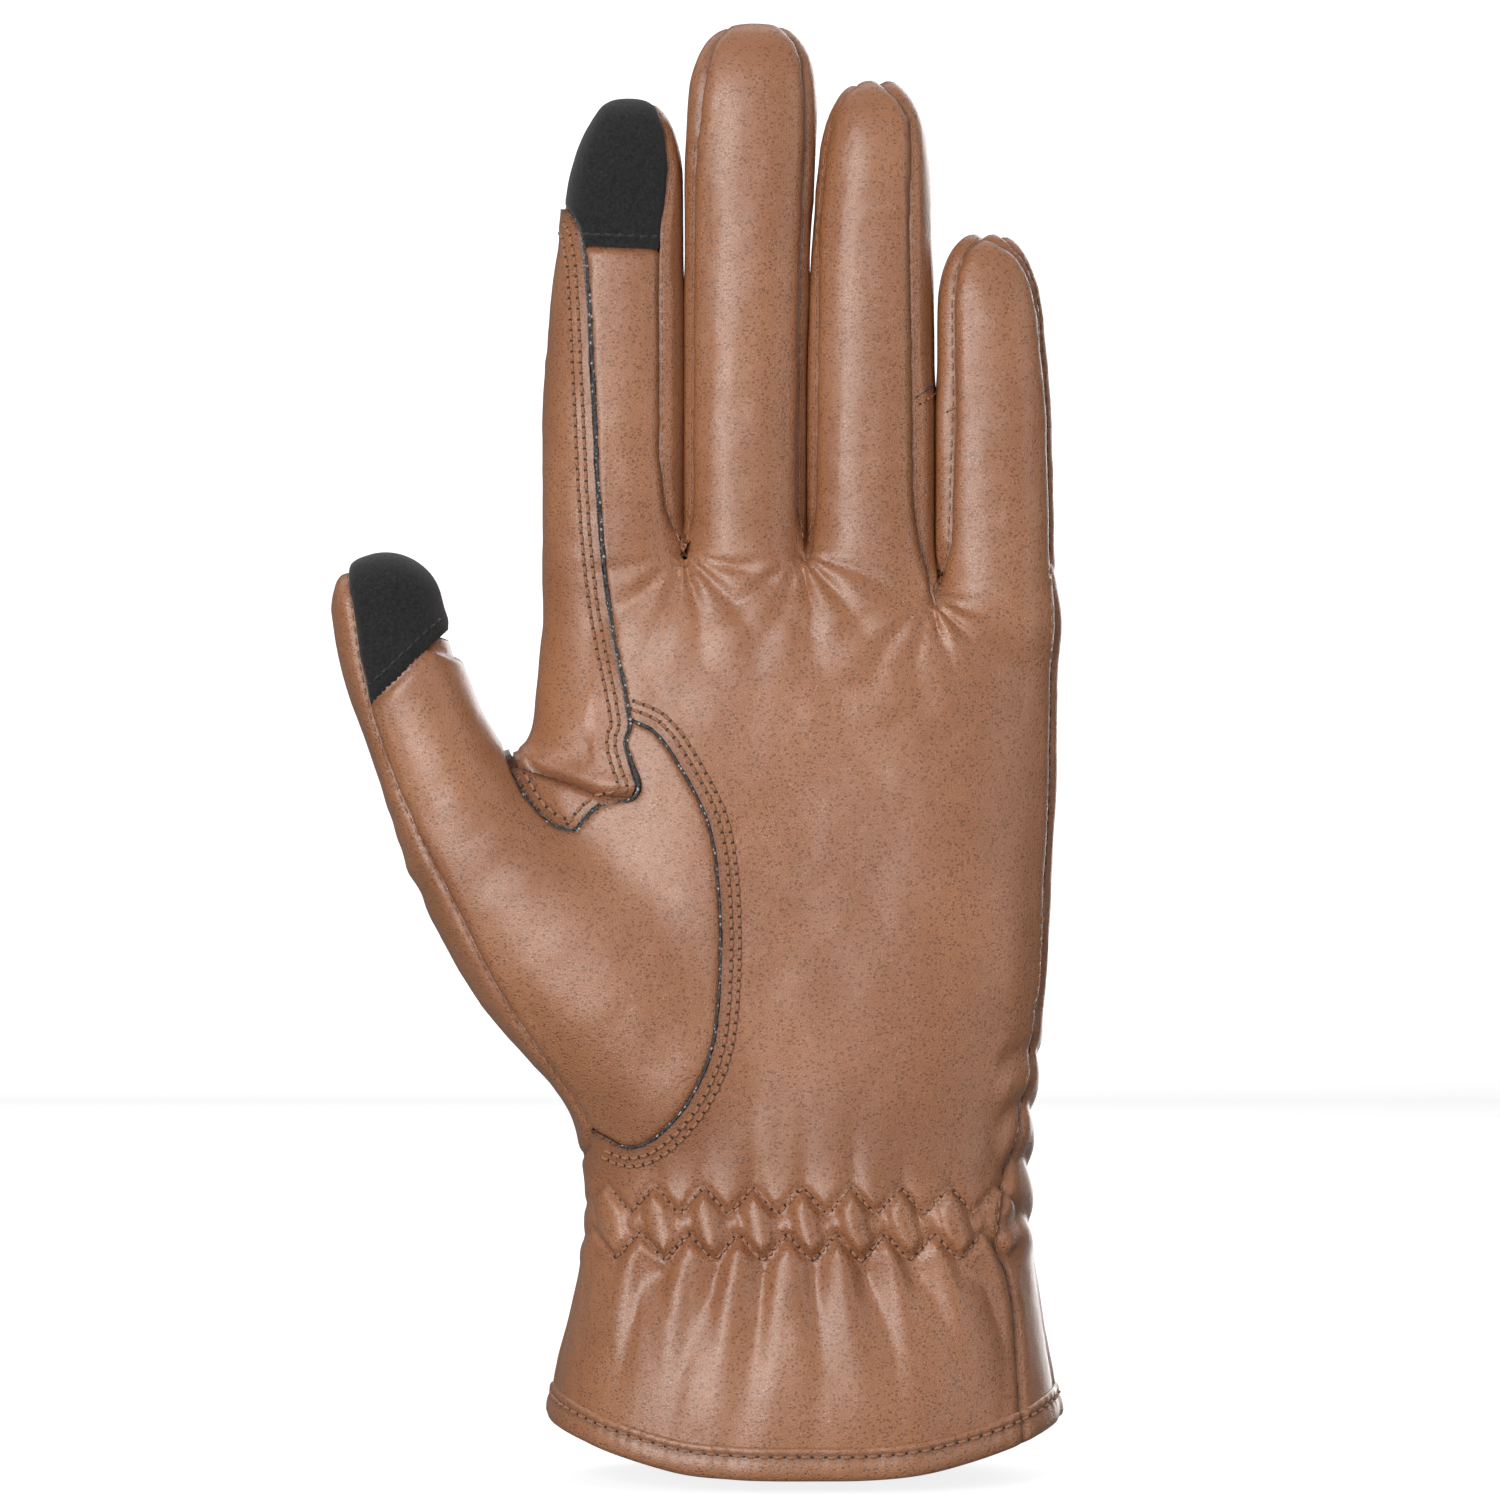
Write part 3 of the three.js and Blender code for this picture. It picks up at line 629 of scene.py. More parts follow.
def noise(x, y, z, seed=0):
    """Smooth value noise, about -1 to 1, one feature to each unit of length."""
    cell = [np.floor(v).astype(np.int64) for v in (x, y, z)]
    f = [smooth(v - c) for v, c in zip((x, y, z), cell)]
    out = 0
    for di in (0, 1):
        for dj in (0, 1):
            for dk in (0, 1):
                w = (np.where(di, f[0], 1 - f[0]) * np.where(dj, f[1], 1 - f[1])
                     * np.where(dk, f[2], 1 - f[2]))
                out = out + w * hashed(cell[0] + di, cell[1] + dj, cell[2] + dk, seed)
    return out


def bump(value, centre, width):
    """A bell, 1 at its centre."""
    return np.exp(-((value - centre) / width) ** 2)


def zigzag(phase):
    """Triangle wave, 1 at each whole number and -1 half way between."""
    return 4 * np.abs(phase - np.floor(phase) - 0.5) - 1


def row_height(row, x):
    return ROW_Z[row] + ROW_SWING * zigzag((x - ROW_PHASE[row]) / PITCH)


def ridges(turns):
    """Rounded ridges at whole numbers of turns with sharp valleys between, 0 to 1."""
    return np.sqrt(np.cos(np.pi * turns) ** 2 + 0.03) - 0.1


def gathers(x, z, front):
    """Pinched rows over the elastic, puffed pleats between them and flutes that fade away."""
    side = np.clip(1.04 - np.abs(x - CUFF_X + 1) / 36, 0, 1) ** 0.3
    near = [z - row_height(k, x) for k in (0, 1)]
    above, below = np.clip(near[0], 0, None), np.clip(-near[1], 0, None)
    out = -1.0 * bump(near[0], 0, 0.9) - 1.0 * bump(near[1], 0, 0.9)
    # each pleat runs from a peak of the upper row down to a valley of the lower one
    lean = 0.2 * (ROW_Z[0] - z) / (ROW_Z[0] - ROW_Z[1])
    turns = (x - ROW_PHASE[0]) / PITCH - lean + 0.05 * noise(x / 11, front, z / 9, 3)
    off = np.abs(turns - np.round(turns))
    pleat = 1.9 * np.sqrt(np.clip(1 - (off / 0.31) ** 2, 0, 1))
    pleat += 0.7 * np.sqrt(np.clip(1 - ((0.5 - off) / 0.2) ** 2, 0, 1))
    between = smooth(-near[0] / 1.6) * smooth(near[1] / 1.6)
    out += between * (pleat - 0.45)
    # flutes start under the lower row's peaks and spread towards the hem
    strength = 0.8 + 0.5 * noise(x / 8, front, z / 60, 5)
    fanned = CUFF_X + (x - CUFF_X) / (1 + 0.020 * below)
    flute = ridges((fanned - ROW_PHASE[1]) / PITCH + 0.16 * noise(x / 15, front, z / 19, 4))
    out += 3.9 * strength * (flute - 0.5) * np.exp(-below / 12.5) * smooth(below / 3)
    flute = ridges((x - ROW_PHASE[0]) / PITCH + 0.5 + 0.1 * noise(x / 15, front, z / 12, 6))
    out += 1.5 * strength * (flute - 0.55) * np.exp(-above / 5) * smooth(above / 2.5)
    return out * side


CROTCH_POINTS = np.array([(-2.5, 158.5), (17.2, 158.5), (39.6, 150.5)])     # x and z
# Mounds and the hollow of the palm: height, x and its reach, z and its reach.
MOUNDS = ((1.3, -12, 15, 92, 22), (0.8, 48, 12, 88, 26), (-1.0, 19, 15, 110, 22))


def relief(p, normal):
    """How far the leather stands out from the plain form, before its seams."""
    x, y, z = p.T
    palm = smooth((0.3 - normal[:, 1]) / 0.6)
    front = (y < 0) * 9.0
    out = gathers(x, z, front)
    calm = 1 - 0.85 * smooth((z - 150) / 10) * smooth((np.abs(normal[:, 0]) - 0.55) / 0.3)
    out += calm * (0.30 * noise(x / 15, y / 15, z / 15, 11) + 0.12 * noise(x / 6, y / 6, z / 6, 12))
    out += 0.045 * noise(x / 2.4, y / 2.4, z / 2.4, 13)
    cuff = smooth((62 - z) / 14)
    out += cuff * 0.5 * noise(x / 9 + 3, front, z / 26, 14)
    # the back leather puffs out past the outer seam, over the elastic
    quilt = ridges((z - 37 + 2 * noise(x / 7, y / 7, 0 * z, 18)) / 9.5) - 0.5
    out += 1.5 * quilt * smooth((x - 50) / 3) * smooth((z - 36) / 5) * smooth((80 - z) / 14)
    mound = 0.7 * bump(z, 143, 7) * smooth((x + 20) / 10)       # below the finger gaps
    for height, at_x, reach_x, at_z, reach_z in MOUNDS:
        mound += height * bump(x, at_x, reach_x) * bump(z, at_z, reach_z)
    out += palm * mound
    # creases running down from between the fingers
    facing = smooth((np.abs(normal[:, 1]) - 0.3) / 0.4)
    for cx, cz in CROTCH_POINTS:
        dx, dz = x - cx, z - cz + 2
        reach = np.hypot(dx, dz)
        angle = np.arctan2(dx, -dz)
        fan = ridges(angle * 1.9 + 0.45 * noise(reach / 9, cx + 0 * x, 0 * x, 15))
        fade = np.exp(-reach / 12) * smooth(reach / 4) * smooth((2 - dz) / 6)
        out += 1.5 * facing * (fan - 0.6) * fade
        out -= 0.8 * facing * bump(dx, 0, 1.5) * np.exp(-np.abs(dz) / 8) * smooth((4 - dz) / 6)
    # slack leather across the thumb's base, and where each finger bends
    run = past_web(x, z)
    slack = (x < -18) * bump(run, -4, 12)
    out += slack * 0.4 * noise(run / 4.2, (x + z) / 26, y / 30, 16)
    for number, f in enumerate(FINGERS):
        for joint in ("_knuckle", "_middle_joint", "_tip_joint"):
            level = joint_at(f + joint)[2]
            ripple = noise(x / 9 + number * 5, y / 9, (z - level) / 2.6, 17)
            here = (np.abs(x - joint_at(f + joint)[0]) < 11.5) & (z > 150)
            out += here * 0.16 * ripple * bump(z, level, 9)
    return out


def distance_to(points, targets):
    tree = KDTree(len(targets))
    for i, t in enumerate(targets):
        tree.insert(t, i)
    tree.balance()
    return np.array([tree.find(p)[2] for p in points])


def rim_of(triangles):
    """Boundary edges, in the direction their triangle runs."""
    edges = np.concatenate([triangles[:, [0, 1]], triangles[:, [1, 2]], triangles[:, [2, 0]]])
    key = np.sort(edges, 1)
    _, index, count = np.unique(key, axis=0, return_index=True, return_counts=True)
    return edges[index[count == 1]]


def sewn_points(panels):
    """Points along every turned-in seam."""
    out = []
    for name, panel in panels.items():
        if name == "back" or name.startswith("fourchette") or name == "thumb_cap":
            rim = rim_of(panel.triangles)
            a, b = panel.values[rim[:, 0], :3], panel.values[rim[:, 1], :3]
            out += [a, (a + b) / 2]
    out = np.concatenate(out)
    keep = out[:, 2] > hem_height(out[:, 0]) + 2.5
    for cx, cz in CROTCH_POINTS:        # not the joins hidden at the foot of each gap
        keep &= ((np.abs(out[:, 0] - cx) > 1.6) | (np.abs(out[:, 1]) > 8)
                 | (np.abs(out[:, 2] - cz + 0.5) > 3.5))
    return out[keep]


GROOVE_DEPTH, GROOVE_REACH = 0.7, 1.25      # of a turned-in seam
LAP_SINK = 1.15                             # how far leather is pressed in under a lap


def strip_swell(name, rest, near):
    """How far a fourchette swells, and where: the fingers lie almost against each other."""
    y, z = rest[:, 1], rest[:, 2]
    low = "ring_right" in name or "little" in name
    swell, eased, level, foot = (0.64, 0.67, 180, 152.0) if low else (0.42, 0.6, 198, 158.3)
    amount = swell * (1 - eased * smooth((z - level) / 9))
    amount += 0.42 * bump(z, foot, 1.5)
    lean = 0.04 * y * (1 if name.endswith("right") else -1)     # neighbours lean the same way
    return amount + np.clip(lean, -0.25, 0.25), smooth((near - 0.6) / 2.2)


def shaped(name, panel, sewn):
    """Moves a panel's points to their final places; adds columns rest, painted shade and normal."""
    rest = panel.values[:, :3].copy()
    normal = panel.values[:, 3:6]
    move = relief(rest, normal)
    near = distance_to(rest, sewn)
    x, z = rest[:, 0], rest[:, 2]
    groove = np.clip(1 - near / GROOVE_REACH, 0, 1) ** 1.4
    fading = (x > 56) * bump(z, 152, 6)         # where the outer strip begins
    groove *= 1 - 0.7 * fading
    cap_corner = np.exp(-((x + 41.5) ** 2 + (z - 141.5) ** 2) / 10)     # of the thumb
    groove *= 1 - 0.75 * cap_corner
    pucker = 1 + 0.25 * noise(*(rest / 1.9).T, 21)
    if name.startswith("fourchette") and name != "fourchette_little_right":
        amount, flat = strip_swell(name, rest, near)
        move = move * (1 - 0.95 * flat) + amount * flat
    move -= GROOVE_DEPTH * groove * pucker
    move += 0.16 * bump(near, 2.2, 1.2)
    # painted shade in and beside the seam grooves
    tone = 0.6 * np.exp(-(near / 0.75) ** 1.3)
    tone = np.maximum(tone, 0.2 * bump(z, 56, 8))           # painted shade where the leather is drawn in at the wrist
    # painted shade along the pinched zigzag rows
    for row in (0, 1):
        pinch = bump(z, row_height(row, x), 0.75) * smooth((38 - np.abs(x - CUFF_X)) / 3)
        tone = np.maximum(tone, 0.45 * pinch)
    f = front_fields(x, z)
    low = np.zeros(len(x))

    def lap(top, distance, lift=0.4, tuck=1.0):
        """Distance is positive on the piece that lies on top."""
        nonlocal move, tone, low
        if top:
            move += lift * np.exp(-np.clip(distance, 0, None) / 3.5)
            move += 0.12 * np.exp(-distance / 5) * noise(x / 3.2, z / 3.2, 0 * x, 22)
        else:
            low = np.maximum(low, tuck * smooth((distance + 0.9) / 1.2))
        # painted shade along the edge where one piece laps over another
        tone = np.maximum(tone, 0.5 * np.exp(-np.abs(distance) / 1.2))

    if name in ("palm", "thumb", "gusset", "index_cap"):
        lap(False, np.minimum(f["side"], f["web"]))
    if name == "side":
        lap(True, f["side"])
        fold = 0.8 * bump(f["web"], 1.8, 1.9) - 0.7 * bump(f["web"], 0, 0.8)
        move += fold * (x > THUMB_RIGHT)
        # painted shade in the fold at the web
        tone = np.maximum(tone, 0.8 * bump(f["web"], 0, 0.9))
    if name == "palm":
        lap(True, -f["thumb"])
        lap(False, f["index_cap"])
    if name == "thumb":
        lap(False, -f["thumb"])
        lap(False, np.minimum(f["gusset"], -f["web"]))
        lap(False, np.minimum(f["thumb_cap"], THUMB_RIGHT - x), tuck=0.2)
    if name == "gusset":
        lap(True, f["gusset"], 0.3)
        # painted shade on the gusset where it lies under the fold at the web
        tone = np.maximum(tone, 0.9 * smooth((1.6 + f["web"]) / 2))
    move -= LAP_SINK * low
    points = rest + normal * move[:, None]
    shade = normals_of(points, panel.triangles)
    edge = np.zeros(len(points))
    edge[np.unique(rim_of(panel.triangles))] = 1
    values = np.column_stack([points, rest, panel.owner, shade, tone, edge])
    return Skin(values, panel.triangles)


# ---- which body carries what
THUMB_CUTS = (0.5, 13.75)                   # distances past the web, where its pieces start
THUMB_ENDS = ((0.5, 13.5), (14.0, 27.0))
WRIST_CUT = 73.0


def finger_levels(f):
    """Bending zones (start, end) of the three joints and the heights between their pieces."""
    knuckle, middle, tip = (joint_at(f + j)[2] for j in ("_knuckle", "_middle_joint", "_tip_joint"))
    first = 152.0 if f == "little" else 160.6
    zones = [(first, knuckle + 8.5), (middle - 8, middle + 8.5), (tip - 8, tip + 8)]
    return zones, [first, (zones[0][1] + zones[1][0]) / 2, (zones[1][1] + zones[2][0]) / 2]


def by_body(skin):
    """Splits a skin where the bodies change: (suffix, part, motion) of each."""
    def upright(level):
        """Height of a part's resting points above a level."""
        return lambda part: part.values[:, 5] - level

    parts = []
    wrist, rest = skin.cut(-upright(WRIST_CUT)(skin))[::-1]
    x = CUFF_X * MM
    ends = [(x, 0, h * MM) for h in WRIST_ZONE]
    parts.append(("wrist", wrist, ("cuff", "hand", *ends)))
    across = -beside(WEB_FOLD[-4:], rest.values[:, 3], rest.values[:, 5])
    run = past_web(rest.values[:, 3], rest.values[:, 5])
    rest, thumb = rest.cut(np.minimum(run - THUMB_CUTS[0], across))
    base, tip = thumb.cut(past_web(thumb.values[:, 3], thumb.values[:, 5]) - THUMB_CUTS[1])
    chain = ("hand", "thumb_proximal", "thumb_tip")
    for number, (suffix, part) in enumerate((("thumb_base", base), ("thumb_tip", tip))):
        ends = []
        for reach in THUMB_ENDS[number]:
            px, pz = (WEB_POINT + WEB_NORMAL * reach) * MM
            ends.append((px, THUMB_BASE[1] * MM, pz))
        parts.append((suffix, part, (*chain[number:number + 2], *ends)))
    for number, f in enumerate(FINGERS):
        zones, cuts = finger_levels(f)
        x = joint_at(f + "_knuckle")[0] * MM
        field = np.where(rest.owner == number, upright(cuts[0])(rest), -4.0)
        rest, finger = rest.cut(field)
        base, finger = finger.cut(upright(cuts[1])(finger))
        middle, tip = finger.cut(upright(cuts[2])(finger))
        chain = ("hand", f + "_proximal", f + "_middle", f + "_tip")
        for level, part in enumerate((base, middle, tip)):
            ends = [(x, -4 * MM, h * MM) for h in zones[level]]
            suffix = f"{f}_{('base', 'middle', 'tip')[level]}"
            parts.append((suffix, part, (*chain[level:level + 2], *ends)))
    parts.append(("hand", rest, ("hand",)))
    return [p for p in parts if len(p[1].triangles)]


def mesh_object(name, points, triangles, attributes, normals=None):
    """A mesh object from millimetre points, with its point attributes and custom normals."""
    mesh = bpy.data.meshes.new(name)
    mesh.vertices.add(len(points))
    mesh.vertices.foreach_set("co", (points * MM).astype(np.float32).ravel())
    mesh.loops.add(triangles.size)
    mesh.loops.foreach_set("vertex_index", triangles.astype(np.int32).ravel())
    mesh.polygons.add(len(triangles))
    mesh.polygons.foreach_set("loop_start", np.arange(0, triangles.size, 3, dtype=np.int32))
    mesh.polygons.foreach_set("use_smooth", np.ones(len(triangles), bool))
    mesh.update(calc_edges=True)
    for key, values in attributes.items():
        kind = "FLOAT_VECTOR" if values.ndim == 2 else "FLOAT"
        layer = mesh.attributes.new(key, kind, "POINT")
        field = "vector" if values.ndim == 2 else "value"
        layer.data.foreach_set(field, values.astype(np.float32).ravel())
    if normals is not None:
        mesh.normals_split_custom_set_from_vertices(normals.tolist())
    obj = bpy.data.objects.new(name, mesh)
    bpy.context.scene.collection.objects.link(obj)
    return obj


def emit(name, skin, material, slot, stands_for=lambda suffix: (), skirt=False):
    """One object for each body zone that a skin crosses; skirt turns its cut edges inwards."""
    for suffix, part, motion in by_body(skin):
        v, tri = part.values, part.triangles
        points, shade = v[:, :3], v[:, 7:10]
        shade = shade / np.maximum(np.linalg.norm(shade, axis=1), 1e-9)[:, None]
        rest, tone = v[:, 3:6], v[:, 10]
        if skirt:
            rim = rim_of(tri)
            rim = rim[(v[rim[:, 0], 11] > 0.99) & (v[rim[:, 1], 11] > 0.99)]
            used, index = np.unique(rim, return_inverse=True)
            index = index.reshape(-1, 2) + len(points)
            points = np.vstack([points, points[used] - shade[used] * LEATHER])
            shade = np.vstack([shade, shade[used]])
            rest, tone = np.vstack([rest, rest[used]]), np.append(tone, tone[used])
            a, b, c, d = rim[:, 1], rim[:, 0], index[:, 0], index[:, 1]
            tri = np.vstack([tri, np.stack([a, b, c], 1), np.stack([a, c, d], 1)])
        obj = mesh_object(f"{name}_{suffix}", points, tri, {"rest": rest, "tone": tone}, shade)
        obj.data.materials.append(material)
        if len(motion) == 1:
            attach(obj, motion[0])
        else:
            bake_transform(obj)
        nodes = [n for n in stands_for(suffix) if n in NODES]
        if nodes:
            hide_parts(*nodes)


def panel_nodes(panel):
    """The CAD pieces that each part of a leather panel stands for."""
    hand, cuff = {"palm": ("palm_panel", "cuff_palm_panel"),
                  "back": ("back_panel", "cuff_back_panel"),
                  "side": ("index_side_panel", ""),
                  "gusset": ("thumb_gusset", ""),
                  "thumb": ("thumb_base_panel", "")}.get(panel, ("", ""))
    ending = "side_panel" if panel == "side" else panel
    if panel.startswith("fourchette"):
        ending = "fourchette_" + panel.rsplit("_", 1)[1]

    def nodes(suffix):
        if suffix in ("hand", "wrist"):
            return (hand if suffix == "hand" else cuff,)
        if panel == "index_cap":
            return ("index_touch_cap",)
        if panel == "thumb_cap":
            return ("thumb_touch_cap",)
        if suffix == "thumb_base":
            return ("thumb_proximal_palm" if panel == "thumb" else "thumb_proximal_back",)
        if suffix == "thumb_tip":
            return ("thumb_tip_back",) if panel == "back" else ()
        finger, level = suffix.split("_")
        level = {"base": "proximal"}.get(level, level)
        if level == "tip":
            return (f"{finger}_tip_{panel}",)
        return (f"{finger}_{level}_{ending}",)
    return nodes


# ---- threads, edges and bands
def unit(v):
    """Vectors at length 1."""
    return v / np.maximum(np.linalg.norm(v, axis=-1, keepdims=True), 1e-9)


def columns(points, rest, shade, tone):
    """A skin's value columns for a small part."""
    owner = np.digitize(rest[:, 0], (-2.4, 18.65, 40.6)).astype(float)
    return np.column_stack([points, rest, owner, shade, tone, np.zeros(len(points))])


def joined(parts):
    """One skin from many small parts."""
    values = np.vstack([v for v, _ in parts])
    starts = np.cumsum([0] + [len(v) for v, _ in parts[:-1]])
    return Skin(values, np.vstack([t + s for (_, t), s in zip(parts, starts)]))


def tube(path, up, wide, thick, sides, rest=None):
    """A rounded strip along a path: half width across it, half thickness along up."""
    count = len(path)
    along = unit(np.gradient(path, axis=0))
    across = unit(np.cross(along, up))
    up = np.cross(across, along)
    wide = np.broadcast_to(wide, count)[:, None, None]
    thick = np.broadcast_to(thick, count)[:, None, None]
    turn = np.linspace(0, 2 * np.pi, sides, endpoint=False)
    c, s = np.cos(turn)[None, :, None], np.sin(turn)[None, :, None]
    points = path[:, None] + c * wide * across[:, None] + s * thick * up[:, None]
    shade = unit(c / wide * across[:, None] + s / thick * up[:, None])
    i, j = np.meshgrid(np.arange(count - 1), np.arange(sides), indexing="ij")
    a, b = i * sides + j, i * sides + (j + 1) % sides
    tri = np.concatenate([np.stack([a, b + sides, b], -1), np.stack([a, a + sides, b + sides], -1)])
    points, shade = points.reshape(-1, 3), shade.reshape(-1, 3)
    rest = points if rest is None else np.broadcast_to(rest, points.shape)
    return columns(points, rest, shade, np.zeros(len(points))), tri.reshape(-1, 3)


def hole_shade_disc(at, up, radius, sides=7):
    """A needle hole's painted shade: a small dark disc, just proud of the leather."""
    across = unit(np.cross(up, (0.31, 0.2, 0.93)))
    other = np.cross(up, across)
    turn = np.linspace(0, 2 * np.pi, sides, endpoint=False)[:, None]
    ring = at + radius * (np.cos(turn) * across + np.sin(turn) * other) + up * 0.03
    points = np.vstack([ring, at + up * 0.06])
    k = np.arange(sides)
    tri = np.stack([np.full(sides, sides), k, (k + 1) % sides], 1)
    shade = np.broadcast_to(up, points.shape)
    # painted shade at full strength darkens the whole disc
    return columns(points, np.broadcast_to(at, points.shape), shade, np.ones(sides + 1)), tri


def leather_surface(panels):
    """All the leather as one tree that rays can be cast on."""
    values, triangles = [], []
    start = 0
    for panel in panels.values():
        values.append(panel.values[:, :3])
        triangles.append(panel.triangles + start)
        start += len(panel.values)
    return BVHTree.FromPolygons(np.vstack(values).tolist(), np.vstack(triangles).tolist())


def cast(surface, origin, direction):
    """The point and the facing normal that a ray hits, or None."""
    point, normal, _, _ = surface.ray_cast(Vector(origin), Vector(direction), 200)
    if point is None:
        return None
    normal = np.array(normal)
    if normal @ np.array(direction) > 0:
        normal = -normal
    return np.array(point), normal


def blurred(rows, rounds):
    """Rows evened out along their order, the two ends kept."""
    for _ in range(rounds):
        rows = np.vstack([rows[:1], (rows[:-2] + 2 * rows[1:-1] + rows[2:]) / 4, rows[-1:]])
    return rows


FINE_STEP = 0.5         # spacing of the points of an edge or a row of stitches


def walk(line, spacing, offset=0.0):
    """Points along a line in x, z at even spacing, moved to its right as it is walked."""
    step = np.hypot(*np.diff(line, axis=0).T)
    s = np.concatenate([[0], np.cumsum(step)])
    at = np.linspace(0, s[-1], max(2, int(round(s[-1] / spacing)) + 1))
    xz = np.stack([np.interp(at, s, line[:, k]) for k in (0, 1)], 1)
    along = unit(blurred(np.gradient(xz, axis=0), 3))
    return xz + offset * np.stack([along[:, 1], -along[:, 0]], 1)


def laid(surface, xz, facing=-1, smoothing=4):
    """Points and directions of a line laid on the palm (facing -1) or the back (1)."""
    hits = [cast(surface, (x, facing * 60, z), (0, -facing, 0)) for x, z in xz]
    hits = [h for h in hits if h is not None]
    points = np.array([h[0] for h in hits])
    normals = unit(blurred(np.array([h[1] for h in hits]), smoothing))
    return blurred(points, 1), normals


def stitches(points, normals, pitch=1.8, radius=0.31, holes=0.36, rise=0.2):
    """Separate stitches along a laid line, with dark discs of painted shade for the needle holes between
    them.
    """
    s = np.concatenate([[0], np.cumsum(np.linalg.norm(np.diff(points, axis=0), axis=1))])
    parts = []
    count = max(1, int(s[-1] / pitch))
    for k in range(count):
        at = s[-1] * (k + np.array([0.12, 0.28, 0.5, 0.72, 0.88])) / count
        path = np.stack([np.interp(at, s, points[:, c]) for c in range(3)], 1)
        up = unit(np.stack([np.interp(at, s, normals[:, c]) for c in range(3)], 1))
        wobble = 0.06 * float(hashed(np.int64(k), np.int64(s[-1] * 7), np.int64(3), 31))
        lift = np.array([-0.24, 0.05, rise, 0.05, -0.24])[:, None]
        across = np.cross(up, np.gradient(path, axis=0))
        path = path + up * lift + unit(across) * wobble
        size = radius * np.array([0.75, 1, 1.05, 1, 0.75])
        parts.append(tube(path, up, size, size, 6, rest=path[2]))
        if holes:
            edge = s[-1] * (k + 0.02) / count
            at = np.array([np.interp(edge, s, points[:, c]) for c in range(3)])
            parts.append(hole_shade_disc(at, up[0], holes))
    return parts


def raw_edge(surface, line, inside, width, thick=0.5):
    """The cut edge of a lapped piece, standing a little over the leather beneath it."""
    middle = walk(line, FINE_STEP, -inside * width * 0.75)
    over = walk(line, FINE_STEP, inside * 0.7)
    points, normals = [], []
    for (mx, mz), (ox, oz) in zip(middle, over):
        hit = cast(surface, (ox, -60, oz), (0, 1, 0))
        if hit is not None and hit[0][1] < 0:
            points.append((mx, hit[0][1], mz))
            normals.append(hit[1])
    normals = unit(blurred(np.array(normals), 6) + np.array((0, -1.2, 0)))
    points = blurred(np.array(points), 4)
    x, y, z = points.T
    ragged = noise(x / 0.9, y / 0.9, z / 0.9, 41)
    points = points - normals * (thick * 0.9) + normals * (0.16 * ragged)[:, None]
    wide = width * (0.62 + 0.3 * noise(x / 1.3, y / 1.3, z / 1.3, 42))
    return tube(points, normals, wide, thick * (1 + 0.2 * ragged), 9)


def cuff_point(turn, z, inset):
    """The point of the cuff or hand outline at a turn and a height, moved in by inset."""
    left, right, palm, back = (np.interp(z, BODY[:, 0], BODY[:, k]) for k in (1, 2, 3, 4))
    c, s = np.cos(turn), np.sin(turn)
    x = (left + right) / 2 + np.sign(c) * np.abs(c) ** 0.8 * ((right - left) / 2 - inset)
    y = (palm + back) / 2 + np.sign(s) * np.abs(s) ** 0.8 * ((back - palm) / 2 - inset)
    return np.stack([x, y, np.broadcast_to(z, x.shape)], -1)


def sheet(grid, closed):
    """Triangles and shading of a grid of points; closed joins its first and last column."""
    rows, cols = grid.shape[:2]
    i, j = np.meshgrid(np.arange(rows - 1), np.arange(cols if closed else cols - 1), indexing="ij")
    a, b = i * cols + j, i * cols + (j + 1) % cols
    tri = np.concatenate([np.stack([a, b, b + cols], -1), np.stack([a, b + cols, a + cols], -1)])
    points, tri = grid.reshape(-1, 3), tri.reshape(-1, 3)
    shade = normals_of(points, tri)
    return columns(points, points, shade, np.zeros(len(points))), tri


def inner_band(low, high, turns, inset, thick, closed, ripple=0.0):
    """A cloth band inside the cuff or the hand: both faces and its two edges."""
    heights = np.linspace(0, 1, 18)
    faces = []
    order = [(h, inset) for h in heights] + [(h, inset + thick) for h in heights[::-1]]
    for share, depth in order + order[:1]:
        flat = cuff_point(turns, 0.5 * (low + high), depth)
        bottom = hem_height(flat[:, 0]) + low if low < 10 else np.full(len(turns), low)
        z = bottom + (high - bottom) * share
        row = np.stack([cuff_point(turns[k], z[k], depth) for k in range(len(turns))])
        if ripple:
            row[:, 1] *= 1 - ripple * np.cos(2 * np.pi * row[:, 0] / PITCH) / np.abs(row[:, 1]).clip(6)
        faces.append(row)
    return sheet(np.array(faces), closed)


HEM_STITCH = 2.3        # pitch of the hem's stitches
HEM_RIDGE = 4.15        # height of the binding's stitch row over the hem
HEM_ROW = 4             # the profile point the stitches lie on
# The binding's section, from its upper edge down the outside, round and up the inside:
# distance out from the leather and height over the hem.
HEM_PROFILE = [(0.10, 5.75), (0.42, 5.62), (0.60, 5.2), (0.56, 4.6), (0.30, HEM_RIDGE), (0.52, 3.7),
               (0.76, 3.0), (0.84, 2.0), (0.74, 1.0), (0.40, 0.3), (-0.2, 0.02), (-1.0, 0.25),
               (-1.7, 1.0), (-1.95, 2.4), (-1.95, 4.2), (-1.7, 5.2)]


